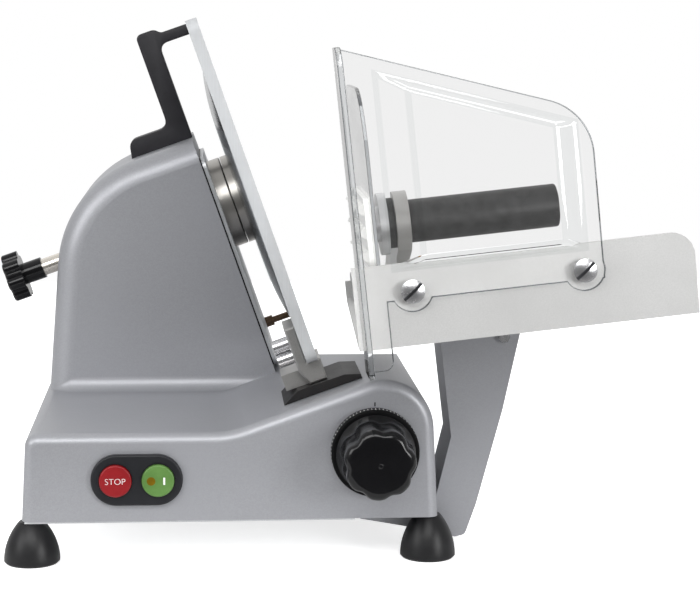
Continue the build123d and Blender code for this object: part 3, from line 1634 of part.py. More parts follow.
with BuildPart() as pusher_arm:
    with BuildSketch(along_tray(pusher_arm_left)):
        with Locations((pusher_axis_y, pusher_axis_rise)):
            Circle(pusher_collar_r)
        with Locations((pusher_rod_y, pusher_rod_rise)):
            Circle(pusher_hub_r)
        make_hull()
    extrude(amount=pusher_arm_thickness)
    with BuildSketch(along_tray(pusher_hub_left)):
        with Locations((pusher_rod_y, pusher_rod_rise)):
            Circle(pusher_hub_r)
    extrude(amount=pusher_hub_right - pusher_hub_left)
    with BuildSketch(along_tray(pusher_arm_right)):
        with Locations((pusher_axis_y, pusher_axis_rise)):
            Circle(ferrule_r)
    extrude(amount=grip_left - pusher_arm_right)
    with BuildSketch(along_tray(pusher_hub_left)):
        with Locations((pusher_rod_y, pusher_rod_rise)):
            Circle(pusher_bush_r + fit)
    extrude(amount=pusher_hub_right - pusher_hub_left, mode=Mode.SUBTRACT)
    with BuildSketch(along_tray(pusher_arm_left)):
        with Locations((pusher_axis_y, pusher_axis_rise)):
            Circle(pusher_core_r + fit)
    extrude(amount=grip_left - pusher_arm_left, mode=Mode.SUBTRACT)
save(pusher_arm, "pusher_arm")

collar_right = pusher_collar_left + pusher_collar
grip_right = grip_left + grip_length
with BuildPart() as pusher_core:
    with BuildSketch(along_tray(shield_right)):
        with Locations((pusher_axis_y, pusher_axis_rise)):
            Circle(pusher_neck_r)
    extrude(amount=pusher_collar_left - shield_right)
    with BuildSketch(along_tray(pusher_collar_left)):
        with Locations((pusher_axis_y, pusher_axis_rise)):
            Circle(pusher_collar_r)
    extrude(amount=pusher_collar)
    with BuildSketch(along_tray(collar_right)):
        with Locations((pusher_axis_y, pusher_axis_rise)):
            Circle(pusher_core_r)
    extrude(amount=grip_right - grip_cap - collar_right)
save(pusher_core, "pusher_core")

with BuildPart() as pusher_spacer:
    with BuildSketch(along_tray(collar_right)):
        with Locations((pusher_axis_y, pusher_axis_rise)):
            Circle(pusher_spacer_r)
            Circle(pusher_core_r + fit, mode=Mode.SUBTRACT)
    extrude(amount=pusher_arm_left - collar_right)
save(pusher_spacer, "pusher_spacer")

with BuildPart() as pusher_shield:
    shield_foot = tray_wall + seat_gap
    with BuildSketch(along_tray(shield_left)) as shield_face:
        panel(
            pusher_axis_y - shield_half_width,
            shield_foot,
            pusher_axis_y + shield_half_width,
            shield_top,
        )
        fillet(shield_face.vertices().group_by(Axis.Y)[-1], shield_top_r)
    extrude(amount=shield_thickness)
save(pusher_shield, "pusher_shield")

with BuildPart() as pusher_plate:
    with BuildSketch(along_tray(tooth_plate_left)):
        with Locations((pusher_axis_y, pusher_axis_rise)):
            RectangleRounded(tooth_plate_width, tooth_plate_height, tooth_plate_r)
    extrude(amount=tooth_plate_thickness)
    with BuildSketch(towards_blade(tooth_plate_left)):
        with Locations((-pusher_axis_y, pusher_axis_rise)):
            with GridLocations(
                tooth_plate_width / tooth_columns,
                tooth_plate_height / tooth_rows,
                tooth_columns,
                tooth_rows,
            ):
                Rectangle(tooth_size, tooth_size)
    extrude(amount=tooth_rise, taper=tooth_taper)
save(pusher_plate, "pusher_plate")

with BuildPart() as pusher_grip:
    with BuildSketch(along_tray(grip_left)):
        with Locations((pusher_axis_y, pusher_axis_rise)):
            Circle(grip_r)
    extrude(amount=grip_length)
    grip_rims = pusher_grip.edges().filter_by(GeomType.CIRCLE).sort_by(Axis.X)
    fillet(grip_rims[-1], grip_end_r)
    fillet(grip_rims[0], tooth_rise / 2)
    with BuildSketch(along_tray(grip_left)):
        with Locations((pusher_axis_y, pusher_axis_rise)):
            Circle(pusher_core_r + fit)
    extrude(amount=grip_length - grip_cap, mode=Mode.SUBTRACT)
save(pusher_grip, "pusher_grip")
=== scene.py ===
# %% [markdown]
# A food slicer, dressed for its photograph.
# The shapes were drawn in CAD and packed as a set of named nodes on moving bodies. This lesson
# loads that set as a fixed frame, gives every surface the finish of the real material, and adds
# what CAD leaves out: print, graduations, knurling, lobes, soft corners and a cast cove.
# Everything is in metres, with the slicer standing on Z = 0 and its operator at -Y.

import json
from math import cos, pi, radians, sin, sqrt

import bmesh
import bpy
from mathutils import Matrix, Vector


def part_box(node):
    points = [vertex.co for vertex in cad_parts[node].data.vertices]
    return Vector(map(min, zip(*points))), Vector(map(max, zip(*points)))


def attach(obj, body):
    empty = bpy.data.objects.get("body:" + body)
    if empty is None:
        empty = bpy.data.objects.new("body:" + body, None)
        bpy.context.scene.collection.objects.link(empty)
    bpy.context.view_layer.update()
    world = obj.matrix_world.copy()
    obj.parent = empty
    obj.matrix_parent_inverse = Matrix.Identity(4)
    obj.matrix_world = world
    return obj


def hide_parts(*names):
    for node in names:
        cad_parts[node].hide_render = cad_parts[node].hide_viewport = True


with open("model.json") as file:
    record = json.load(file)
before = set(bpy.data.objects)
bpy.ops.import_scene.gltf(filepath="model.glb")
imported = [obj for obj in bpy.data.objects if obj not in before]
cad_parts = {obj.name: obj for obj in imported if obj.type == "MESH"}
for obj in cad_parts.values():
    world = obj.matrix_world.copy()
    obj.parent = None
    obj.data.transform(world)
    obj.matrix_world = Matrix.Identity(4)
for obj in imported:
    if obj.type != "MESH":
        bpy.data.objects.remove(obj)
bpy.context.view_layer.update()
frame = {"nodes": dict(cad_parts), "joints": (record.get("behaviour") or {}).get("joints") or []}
scene = bpy.context.scene
MM = 0.001
joints = {joint["name"]: joint for joint in frame["joints"]}

# %% [markdown]
# The camera stands where the photographer stood. The photograph is 700 pixels wide, and lines that
# run straight away from the operator meet left of its middle, so the camera looks a little to the
# right and a little down. A long lens keeps the perspective flat, as in a product photograph.

# %% Camera at the photograph's place
PHOTO_WIDTH = 700
FOCAL_PIXELS = 1970
CAMERA_PLACE = (-0.0806, -1.4328, 0.3593)
look_right = Matrix.Rotation(radians(-4.338), 4, "Z")
look_down = Matrix.Rotation(radians(90 - 7.602), 4, "X")
lean = Matrix.Rotation(radians(0.28), 4, "Z")
lens = bpy.data.cameras.new("photo_camera")
lens.sensor_width = 36
lens.lens = lens.sensor_width * FOCAL_PIXELS / PHOTO_WIDTH
camera = bpy.data.objects.new("photo_camera", lens)
scene.collection.objects.link(camera)
camera.matrix_world = Matrix.Translation(CAMERA_PLACE) @ look_right @ look_down @ lean
scene.camera = camera
print("lens", round(lens.lens, 1), "mm")

# %% [markdown]
# Every tree of nodes in this lesson, for a material, for the light or for geometry, is built by one
# small function. It adds a node, sets its properties, and fills each input with a value or a link.
# A link starts at an output, or at a node, which then stands for its first output in use. A second
# function turns the hex colour that a colour picker shows into the linear numbers that Blender
# computes with, and a third turns a size in millimetres into the scale of a texture on Object
# coordinates, which are metres here.

# %% Helpers for nodes, colours and sizes
def node(tree, kind, inputs=None, **settings):
    """Add one node with its settings; each input gets a value, or a link from an output or a node."""
    made = tree.nodes.new(kind)
    for name, value in settings.items():
        setattr(made, name, value)
    for socket, source in (inputs or {}).items():
        if isinstance(source, bpy.types.Node):
            source = next(output for output in source.outputs if output.enabled)
        if isinstance(source, bpy.types.NodeSocket):
            tree.links.new(source, made.inputs[socket])
        else:
            made.inputs[socket].default_value = source
    return made


def linear(code):
    """An sRGB hex colour as linear red, green, blue and alpha."""
    parts = [int(code[i : i + 2], 16) / 255 for i in (1, 3, 5)]
    return tuple(c / 12.92 if c <= 0.04045 else ((c + 0.055) / 1.055) ** 2.4 for c in parts) + (1.0,)


def per_mm(size):
    """Texture scale at which one feature is this many millimetres across."""
    return 1 / (size * MM)


print("mid grey #808080 is", round(linear("#808080")[0], 3), "in linear light")

# %% [markdown]
# Polished metal shows its surroundings and nothing else, so the room matters as much as the lamps.
# A picture of a real studio could light it, but a few nodes can be tuned one by one. They make a
# room that is bright above, brighter towards the white backdrop and dim behind the camera, so that
# black plastic stays black. The camera itself sees plain white all round. Rays that it sends
# through the clear guard see white only behind the slicer and grey elsewhere, so the guard's edges,
# which bend the view aside, draw themselves as grey lines. Once such a ray has met a matt surface,
# it takes the light of the room again.

# %% World and view
scene.view_settings.view_transform = "Standard"
world = bpy.data.worlds.new("studio")
world.use_nodes = True
sky = world.node_tree
sky.nodes.clear()
looking = node(sky, "ShaderNodeTexCoord").outputs["Generated"]
ways = node(sky, "ShaderNodeSeparateXYZ", {"Vector": looking}).outputs
above = node(sky, "ShaderNodeMapRange", {
    "Value": ways["Z"], "From Min": -0.1, "From Max": 0.9, "To Min": 0.45, "To Max": 0.75})
front = node(sky, "ShaderNodeMapRange", {
    "Value": ways["Y"], "From Min": -0.9, "From Max": -0.2, "To Min": 0.35, "To Max": 1.0})
back = node(sky, "ShaderNodeMapRange", {
    "Value": ways["Y"], "From Min": 0.2, "From Max": 0.9, "To Min": 1.0, "To Max": 1.7})
ends = node(sky, "ShaderNodeMath", {0: front, 1: back}, operation="MULTIPLY")
room = node(sky, "ShaderNodeMath", {0: above, 1: ends}, operation="MULTIPLY")
wall = node(sky, "ShaderNodeMapRange", {
    "Value": ways["Y"], "From Min": 0.3, "From Max": 0.8, "To Min": 0.5, "To Max": 1.0})
rays = node(sky, "ShaderNodeLightPath").outputs
early = node(sky, "ShaderNodeMath", {0: rays["Diffuse Depth"], 1: 0.5}, operation="LESS_THAN")
through = node(sky, "ShaderNodeMath", {0: rays["Is Transmission Ray"], 1: early}, operation="MULTIPLY")
bent = node(sky, "ShaderNodeMix", {"Factor": through, "A": room, "B": wall})
level = node(sky, "ShaderNodeMix", {"Factor": rays["Is Camera Ray"], "A": bent, "B": 1.0})
light = node(sky, "ShaderNodeBackground", {"Color": (1, 1, 1, 1), "Strength": level})
node(sky, "ShaderNodeOutputWorld", {"Surface": light})
scene.world = world
print("world", world.name, "with", len(sky.nodes), "nodes")

# %% [markdown]
# Product photographs of metal are lit by soft boxes, large lamps behind white cloth, because a small
# lamp would show in the metal as a dot. Three stand here: overhead, at the left and at the right,
# all turned to the middle of the slicer. They are hidden from rays that bend through clear plastic,
# for a reason that the cell on that plastic gives.

# %% Soft boxes
SLICER_MIDDLE = Vector((0, 0, 0.18))


def soft_box(name, place, width, depth, watts):
    """A rectangular area light that faces the middle of the slicer."""
    lamp = bpy.data.lights.new(name, "AREA")
    lamp.shape = "RECTANGLE"
    lamp.size = width
    lamp.size_y = depth
    lamp.energy = watts
    box = bpy.data.objects.new(name, lamp)
    away = Vector(place) - SLICER_MIDDLE
    box.matrix_world = Matrix.Translation(place) @ away.to_track_quat("Z", "Y").to_matrix().to_4x4()
    box.visible_transmission = False
    scene.collection.objects.link(box)
    return box


soft_boxes = [
    soft_box("overhead_box", (-0.2, -1.25, 1.05), width=1.4, depth=0.6, watts=14),
    soft_box("left_box", (-1.6, -1.1, 0.9), width=1.0, depth=1.0, watts=13),
    soft_box("right_box", (1.5, -1.8, 0.55), width=0.8, depth=0.8, watts=20),
]
print([box.name for box in soft_boxes])

# %% [markdown]
# The floor is a plain white card that ends before its edge could be seen. Like the paper of a photo
# table it glows a little for the camera, so that only soft shadows are left under the slicer. It
# isn't part of the slicer. Two helpers for later cells come first: one starts a material, the other
# links a mesh as an object.

# %% Floor
def new_finish(name):
    """A material with an empty node tree, and its Object coordinates."""
    material = bpy.data.materials.new(name)
    material.use_nodes = True
    tree = material.node_tree
    tree.nodes.clear()
    return material, tree, node(tree, "ShaderNodeTexCoord").outputs["Object"]


def mesh_piece(name, mesh, material=None):
    """Link a mesh as an object at the origin, with its place in its vertices."""
    piece = bpy.data.objects.new(name, mesh)
    scene.collection.objects.link(piece)
    if material:
        mesh.materials.clear()
        mesh.materials.append(material)
    return piece


CARD_GLOW = 0.7
paper, tree, place = new_finish("white_card")
grain = node(tree, "ShaderNodeTexNoise", {"Vector": place, "Scale": per_mm(40), "Detail": 3})
tone = node(tree, "ShaderNodeMix", {
    "Factor": grain, "A": linear("#f2f2f2"), "B": linear("#f6f6f6")}, data_type="RGBA")
rays = node(tree, "ShaderNodeLightPath").outputs
seen = node(tree, "ShaderNodeMath", {
    0: rays["Is Camera Ray"], 1: rays["Is Transmission Ray"]}, operation="MAXIMUM")
glow = node(tree, "ShaderNodeMath", {0: seen, 1: CARD_GLOW}, operation="MULTIPLY")
card = node(tree, "ShaderNodeBsdfPrincipled", {
    "Base Color": tone, "Roughness": 0.9, "Specular IOR Level": 0.1,
    "Emission Color": (1, 1, 1, 1), "Emission Strength": glow})
node(tree, "ShaderNodeOutputMaterial", {"Surface": card})

REACH = 1.4
FRONT = -0.32
FLOOR = -0.2 * MM
sheet = bpy.data.meshes.new("floor")
corners = [(-REACH, FRONT, FLOOR), (REACH, FRONT, FLOOR), (REACH, REACH, FLOOR), (-REACH, REACH, FLOOR)]
sheet.from_pydata(corners, [], [(0, 1, 2, 3)])
floor = mesh_piece("floor", sheet, paper)
print("floor", 2 * REACH, "m wide")

# %% [markdown]
# The casting and the carriage's arm have silver lacquer on cast aluminium: fine aluminium flakes in
# a satin clear coat. Close up the flakes vary a little in tone, and the sprayed coat has a faint
# orange-peel ripple. Voronoi cells, each with a tone of its own, stand for the flakes, because plain
# noise has no edges. Real flakes are about 0.05 mm, too fine to show, so they are drawn at 0.8 mm.

# %% Silver lacquer
lacquer, tree, place = new_finish("silver_lacquer_on_cast_aluminium")
flakes = node(tree, "ShaderNodeTexVoronoi", {"Vector": place, "Scale": per_mm(0.8)})
flake = node(tree, "ShaderNodeSeparateColor", {"Color": flakes.outputs["Color"]})
clouds = node(tree, "ShaderNodeTexNoise", {"Vector": place, "Scale": per_mm(70), "Detail": 2})
silver = node(tree, "ShaderNodeMix", {
    "Factor": flake, "A": linear("#9a9b9f"), "B": linear("#a4a5a9")}, data_type="RGBA")
tone = node(tree, "ShaderNodeMix", {
    "Factor": clouds, "A": silver, "B": linear("#9fa0a5")}, data_type="RGBA")
ripple = node(tree, "ShaderNodeTexNoise", {"Vector": place, "Scale": per_mm(2.5), "Detail": 1})
peel = node(tree, "ShaderNodeBump", {"Height": ripple, "Strength": 0.12, "Distance": 0.03 * MM})
satin = node(tree, "ShaderNodeMapRange", {"Value": clouds, "To Min": 0.42, "To Max": 0.5})
paint = node(tree, "ShaderNodeBsdfPrincipled", {
    "Base Color": tone, "Metallic": 0.5, "Roughness": satin,
    "Coat Weight": 0.08, "Coat Roughness": 0.25, "Normal": peel})
node(tree, "ShaderNodeOutputMaterial", {"Surface": paint})
print(lacquer.name)

# %% [markdown]
# Anodised aluminium keeps the marks of the metal under its clear oxide. The gauge plate, the ring
# guard and the face plate were drawn through a die or rolled, so faint streaks run along them, and
# the gauge plate was etched to a duller satin as well. The tray's sheet was blasted first, and has
# an even fine grain instead. Bare milled blocks keep the streaks of the cutter. All share one
# recipe: noise that is stretched along the streaks, or not stretched at all. Real grain is finer
# than 0.1 mm, and is drawn at 0.5 to 0.9 mm so that it shows.

# %% Anodised aluminium
CLOUD_MM = 45
DULLING = 0.06


def anodised(name, dark, bright, metallic, roughness, grain_mm, stretch):
    """Anodised or bare aluminium; stretch gives how far the grain is drawn out along each axis."""
    material, tree, place = new_finish(name)
    drawn = node(tree, "ShaderNodeMapping", {"Vector": place, "Scale": tuple(1 / s for s in stretch)})
    grain = node(tree, "ShaderNodeTexNoise", {
        "Vector": drawn, "Scale": per_mm(grain_mm), "Detail": 3, "Roughness": 0.6})
    broad = node(tree, "ShaderNodeTexNoise", {"Vector": place, "Scale": per_mm(CLOUD_MM), "Detail": 2})
    both = node(tree, "ShaderNodeMath", {0: grain, 1: broad}, operation="MULTIPLY")
    spread = node(tree, "ShaderNodeMapRange", {"Value": both, "From Min": 0.1, "From Max": 0.45})
    tone = node(tree, "ShaderNodeMix", {
        "Factor": spread, "A": linear(dark), "B": linear(bright)}, data_type="RGBA")
    rough = node(tree, "ShaderNodeMapRange", {
        "Value": grain, "To Min": roughness - DULLING, "To Max": roughness + DULLING})
    bump = node(tree, "ShaderNodeBump", {"Height": grain, "Strength": 0.2, "Distance": 0.02 * MM})
    metal = node(tree, "ShaderNodeBsdfPrincipled", {
        "Base Color": tone, "Metallic": metallic, "Roughness": rough, "Normal": bump})
    node(tree, "ShaderNodeOutputMaterial", {"Surface": metal})
    return material


drawn_plate = anodised("drawn_anodised_aluminium", "#d0d2d4", "#e3e5e7",
                       metallic=0.6, roughness=0.4, grain_mm=0.6, stretch=(1, 40, 40))
blasted_sheet = anodised("blasted_anodised_aluminium", "#c4c4c3", "#d1d1d0",
                         metallic=0.4, roughness=0.48, grain_mm=0.9, stretch=(1, 1, 1))
satin_plate = anodised("satin_anodised_aluminium", "#b2b4b6", "#c0c2c4",
                       metallic=0.15, roughness=0.6, grain_mm=0.6, stretch=(1, 40, 40))
milled_block = anodised("milled_aluminium", "#a2a19f", "#bcbbb9",
                        metallic=0.7, roughness=0.3, grain_mm=0.5, stretch=(1, 25, 1))
print([finish.name for finish in (drawn_plate, blasted_sheet, satin_plate, milled_block)])

# %% [markdown]
# Turned and ground metal shows rings, because the tool went round while the work moved along. A
# pattern that depends only on the distance along an axis gives them: the dot product of a point
# with that axis, fed to one-dimensional noise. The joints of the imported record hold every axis.
# Real rings lie about 0.1 mm apart, and are drawn at 0.5 to 0.9 mm so that they show.

# %% Turned and ground metal
GROOVE_TONE = 0.82
PATCH_MM = 12
blade_axis = Vector(joints["blade_spin"]["axis"])
blade_centre = Vector(joints["blade_spin"]["pos_m"])
tray_axis = Vector(joints["pusher_travel"]["axis"])
travel_axis = Vector(joints["carriage_travel"]["axis"])


def turned(name, code, roughness, axis, ring_mm):
    """Steel or another metal with rings square to an axis."""
    material, tree, place = new_finish(name)
    along = node(tree, "ShaderNodeVectorMath", {0: place, 1: axis}, operation="DOT_PRODUCT")
    rings = node(tree, "ShaderNodeTexNoise", {
        "W": along, "Scale": per_mm(ring_mm), "Detail": 4, "Roughness": 0.7}, noise_dimensions="1D")
    dull = node(tree, "ShaderNodeTexNoise", {"Vector": place, "Scale": per_mm(PATCH_MM), "Detail": 3})
    dark = tuple(GROOVE_TONE * c for c in linear(code)[:3]) + (1.0,)
    tone = node(tree, "ShaderNodeMix", {"Factor": rings, "A": dark, "B": linear(code)}, data_type="RGBA")
    rough = node(tree, "ShaderNodeMapRange", {
        "Value": dull, "To Min": roughness * 0.75, "To Max": roughness * 1.3})
    bump = node(tree, "ShaderNodeBump", {"Height": rings, "Strength": 0.35, "Distance": 0.015 * MM})
    metal = node(tree, "ShaderNodeBsdfPrincipled", {
        "Base Color": tone, "Metallic": 1.0, "Roughness": rough, "Normal": bump})
    node(tree, "ShaderNodeOutputMaterial", {"Surface": metal})
    return material


turned_steel = turned("turned_steel", "#b3b0ab", 0.3, blade_axis, ring_mm=0.7)
tie_steel = turned("bright_drawn_steel", "#efe9df", 0.26, blade_axis, ring_mm=0.9)
ground_rod = turned("ground_steel_rod", "#c2c3c5", 0.16, travel_axis, ring_mm=0.8)
pusher_steel = turned("ground_steel_pusher_rod", "#c6c7c9", 0.16, tray_axis, ring_mm=0.8)
turned_collar = turned("turned_aluminium_collar", "#e6e7e8", 0.3, tray_axis, ring_mm=0.6)
turned_pulley = turned("turned_aluminium_pulley", "#c4c5c7", 0.3, blade_axis, ring_mm=0.6)
bronze = turned("sintered_bronze", "#a8824c", 0.4, tray_axis, ring_mm=0.5)
print("turned finishes along", [round(c, 3) for c in blade_axis])

# %% [markdown]
# The blade is stainless steel, ground and polished while it spun. Its lapping marks are circles, so
# the pattern depends on the distance from the blade's axis: the length of the cross product of the
# axis with the vector from the centre. Real marks are finer than 0.1 mm and spread a reflection
# across themselves. The shader's anisotropy does that, and coarser circles, 1.2 mm apart, show as
# marks. The bevel near the edge is a little rougher.

# %% Polished blade
BEVEL_STARTS = 117 * MM
BEVEL_ENDS = 121 * MM
blade_polish, tree, place = new_finish("polished_stainless_blade")
from_centre = node(tree, "ShaderNodeVectorMath", {0: place, 1: blade_centre}, operation="SUBTRACT")
across = node(tree, "ShaderNodeVectorMath", {0: from_centre, 1: blade_axis}, operation="CROSS_PRODUCT")
radius = node(tree, "ShaderNodeVectorMath", {0: across}, operation="LENGTH")
laps = node(tree, "ShaderNodeTexNoise", {
    "W": radius, "Scale": per_mm(1.2), "Detail": 5, "Roughness": 0.75}, noise_dimensions="1D")
tone = node(tree, "ShaderNodeMix", {
    "Factor": laps, "A": linear("#b4b6b9"), "B": linear("#e6e8ea")}, data_type="RGBA")
edge = node(tree, "ShaderNodeMapRange", {
    "Value": radius, "From Min": BEVEL_STARTS, "From Max": BEVEL_ENDS, "To Min": 0.2, "To Max": 0.3})
bump = node(tree, "ShaderNodeBump", {"Height": laps, "Strength": 0.15, "Distance": 0.01 * MM})
round_it = node(tree, "ShaderNodeTangent", direction_type="RADIAL", axis="X")
metal = node(tree, "ShaderNodeBsdfPrincipled", {
    "Base Color": tone, "Metallic": 1.0, "Roughness": edge, "Normal": bump,
    "Anisotropic": 0.6, "Tangent": round_it})
node(tree, "ShaderNodeOutputMaterial", {"Surface": metal})
print(blade_polish.name)

# %% [markdown]
# Plated screws are bright and almost smooth, with a haze of fine handling scratches; the walls of
# their slots get a darker plating, which is painted shade. The post that holds the ring guard is
# blackened steel, brown where the oil has gone, and the motor's frame is enamelled. All have a tone
# and a roughness that follow one noise, so they share a function.

# %% Plated, blackened and enamelled steel
def mottled_metal(name, dark, bright, metallic, rough_low, rough_high, patch_mm):
    """A metal whose tone and roughness wander together from patch to patch."""
    material, tree, place = new_finish(name)
    patches = node(tree, "ShaderNodeTexNoise", {
        "Vector": place, "Scale": per_mm(patch_mm), "Detail": 5, "Roughness": 0.65})
    tone = node(tree, "ShaderNodeMix", {
        "Factor": patches, "A": linear(dark), "B": linear(bright)}, data_type="RGBA")
    rough = node(tree, "ShaderNodeMapRange", {"Value": patches, "To Min": rough_high, "To Max": rough_low})
    bump = node(tree, "ShaderNodeBump", {"Height": patches, "Strength": 0.1, "Distance": 0.02 * MM})
    metal = node(tree, "ShaderNodeBsdfPrincipled", {
        "Base Color": tone, "Metallic": metallic, "Roughness": rough, "Normal": bump})
    node(tree, "ShaderNodeOutputMaterial", {"Surface": metal})
    return material


bright_plating = mottled_metal("bright_nickel_plating", "#cfcfd1", "#e6e6e8",
                               metallic=1.0, rough_low=0.2, rough_high=0.32, patch_mm=2.5)
black_oxide = mottled_metal("blackened_steel", "#54453a", "#94795f",
                            metallic=0.7, rough_low=0.35, rough_high=0.55, patch_mm=1.5)
# Dark plating for the walls of the screw slots: painted shade where the real slot is only shaded.
slot_painted_shade = mottled_metal("plating_with_painted_shade_in_slots", "#3c3d3f", "#55565a",
                           metallic=0.8, rough_low=0.4, rough_high=0.55, patch_mm=1.5)
motor_enamel = mottled_metal("enamelled_motor_frame", "#3c3f42", "#4a4d50",
                             metallic=0.2, rough_low=0.45, rough_high=0.6, patch_mm=6)
print([finish.name for finish in (bright_plating, black_oxide, slot_painted_shade, motor_enamel)])

# %% [markdown]
# Moulded plastics and rubber are dielectrics: their colour comes from inside and their gloss from
# the mould. A polished mould gives the knobs a deep shine with a slow ripple, a spark-eroded one
# gives the switch plate and the grip a fine even texture, and rubber stays dull with a pale bloom.
# Powder coat and printing ink look alike enough to share the recipe. One function takes the
# colours, the roughness, the size of the texture and its depth. A real mould's texture is a few
# hundredths of a millimetre wide, and is drawn from 0.6 mm up so that it shows.

# %% Moulded plastics and rubber
def moulded(name, dark, bright, roughness, texture_mm, depth_mm, bloom_mm=18, gloss=0.35):
    """A moulded dielectric with a mould texture and a faint wander of tone."""
    material, tree, place = new_finish(name)
    bloom = node(tree, "ShaderNodeTexNoise", {
        "Vector": place, "Scale": per_mm(bloom_mm), "Detail": 4, "Roughness": 0.6})
    spread = node(tree, "ShaderNodeMapRange", {"Value": bloom, "From Min": 0.3, "From Max": 0.7})
    tone = node(tree, "ShaderNodeMix", {
        "Factor": spread, "A": linear(dark), "B": linear(bright)}, data_type="RGBA")
    rough = node(tree, "ShaderNodeMapRange", {
        "Value": bloom, "To Min": roughness * 0.85, "To Max": roughness * 1.15})
    texture = node(tree, "ShaderNodeTexNoise", {"Vector": place, "Scale": per_mm(texture_mm), "Detail": 2})
    bump = node(tree, "ShaderNodeBump", {"Height": texture, "Strength": 0.5, "Distance": depth_mm * MM})
    plastic = node(tree, "ShaderNodeBsdfPrincipled", {
        "Base Color": tone, "Roughness": rough, "Specular IOR Level": gloss, "Normal": bump})
    node(tree, "ShaderNodeOutputMaterial", {"Surface": plastic})
    return material


black_phenolic = moulded("polished_black_phenolic", "#08080a", "#0e0e10",
                         roughness=0.15, texture_mm=6, depth_mm=0.03, gloss=0.34)
dial_plastic = moulded("matte_black_dial_phenolic", "#060607", "#0c0c0d",
                       roughness=0.5, texture_mm=1.0, depth_mm=0.02, gloss=0.1)
switch_plastic = moulded("textured_dark_abs", "#131418", "#1b1c20",
                         roughness=0.42, texture_mm=0.7, depth_mm=0.05)
grip_plastic = moulded("textured_grip_polypropylene", "#191919", "#3a3a3a",
                       roughness=0.46, texture_mm=0.9, depth_mm=0.1, bloom_mm=9)
red_abs = moulded("red_abs", "#7c0c13", "#8e161c", roughness=0.35, texture_mm=1.2, depth_mm=0.02)
green_abs = moulded("green_abs", "#507538", "#628948", roughness=0.35, texture_mm=1.2, depth_mm=0.02)
amber_lens = moulded("amber_acrylic_lens", "#664f02", "#886e0a",
                     roughness=0.2, texture_mm=1.0, depth_mm=0.05)
white_acetal = moulded("white_acetal", "#e6e6e4", "#f2f2f0",
                       roughness=0.38, texture_mm=1.5, depth_mm=0.02)
foot_rubber = moulded("black_foot_rubber", "#0c0c0e", "#151517",
                      roughness=0.4, texture_mm=1.0, depth_mm=0.03, bloom_mm=9)
belt_rubber = moulded("black_belt_rubber", "#19191a", "#232324",
                      roughness=0.7, texture_mm=0.8, depth_mm=0.05)
stay_coat = moulded("matte_black_powder_coat", "#1c1b1f", "#262529",
                    roughness=0.5, texture_mm=0.9, depth_mm=0.06)
cover_plastic = moulded("matte_black_nylon", "#121112", "#1c1a1a",
                        roughness=0.48, texture_mm=0.8, depth_mm=0.05)
legend_ink = moulded("white_legend_ink", "#e8e8e8", "#f6f6f6",
                     roughness=0.5, texture_mm=0.6, depth_mm=0.01)
index_ink = moulded("black_index_ink", "#141418", "#1d1d22",
                    roughness=0.5, texture_mm=0.6, depth_mm=0.01)
print(len(bpy.data.materials), "materials so far")

# %% [markdown]
# The hand guard and the pusher's shield are clear polycarbonate, 4 mm and 2.5 mm thick. Light bends
# in it as in glass, with a refractive index of 1.585. A formed sheet is never quite clean, so a
# faint haze dulls its reflections here and there. Light from the soft boxes is let straight
# through to what lies behind, because a path tracer seldom finds its way back through bent light;
# so the boxes themselves are hidden from bent rays, or their light would count twice.
# Along its rim the sheet pipes light away sideways. Here that grey is painted shade: a grey tint on
# the cut edge, a darker one on its rolled corner, and a faint one on a bend.

# %% Clear polycarbonate
REFRACTION = 1.585
HAZE_MM = 30


def polycarbonate(name, tint):
    """Clear polycarbonate; the tint is what is left of white light behind it, and on the bend, edge and
    corner zones it is painted shade.
    """
    material, tree, place = new_finish(name)
    haze = node(tree, "ShaderNodeTexNoise", {"Vector": place, "Scale": per_mm(HAZE_MM), "Detail": 4})
    rough = node(tree, "ShaderNodeMapRange", {
        "Value": haze, "From Min": 0.4, "From Max": 0.8, "To Min": 0.01, "To Max": 0.05})
    clear = node(tree, "ShaderNodeBsdfPrincipled", {
        "Base Color": linear(tint), "Roughness": rough, "IOR": REFRACTION, "Transmission Weight": 1.0})
    passing = node(tree, "ShaderNodeBsdfTransparent")
    lamp_rays = node(tree, "ShaderNodeLightPath").outputs["Is Shadow Ray"]
    pane = node(tree, "ShaderNodeMixShader", {0: lamp_rays, 1: clear, 2: passing})
    node(tree, "ShaderNodeOutputMaterial", {"Surface": pane})
    return material


clear_sheet = polycarbonate("clear_polycarbonate", "#f7f7f7")
# The grey tints of bends, cut edges and rolled corners are painted shade that draws them as lines.
clear_bend_painted_shade = polycarbonate("clear_polycarbonate_bend_painted_shade", "#eeefef")
clear_edge_painted_shade = polycarbonate("clear_polycarbonate_edge_painted_shade", "#c2c5c7")
clear_corner_painted_shade = polycarbonate("clear_polycarbonate_corner_painted_shade", "#74787b")
clear_zones = (clear_sheet, clear_bend_painted_shade, clear_edge_painted_shade, clear_corner_painted_shade)
print([zone.name for zone in clear_zones])

# %% [markdown]
# The guard is screwed flat against the tray. Two faces in the very same place are a trap for a
# renderer: light that leaves the clear sheet starts on the metal's face and slips inside the metal,
# which then looks black. A real sheet never touches all over, so the clear pieces are drawn in by a
# tenth of a millimetre or less. Their bends get the wide radius of warm-formed sheet and their rims
# a small one, and normals weighted by area keep the flat parts optically flat. Each face takes the
# material of its zone: flat sheet, bend, cut edge or the rolled corner of an edge.

# %% Clear pieces with a hair of air
BEND_ZONE, EDGE_ZONE, CORNER_ZONE = 1, 2, 3
SHEET = 3.95 * MM
SHORT = 8 * MM
SHALLOW, STEEP = radians(12), radians(60)
LEAN_LOW, LEAN_HIGH = 0.5, 0.95


def applied(piece, modifier):
    """The piece's mesh with a modifier worked into it; the modifier itself is taken off."""
    ready = piece.evaluated_get(bpy.context.evaluated_depsgraph_get())
    mesh = bpy.data.meshes.new_from_object(ready)
    piece.modifiers.remove(modifier)
    return mesh


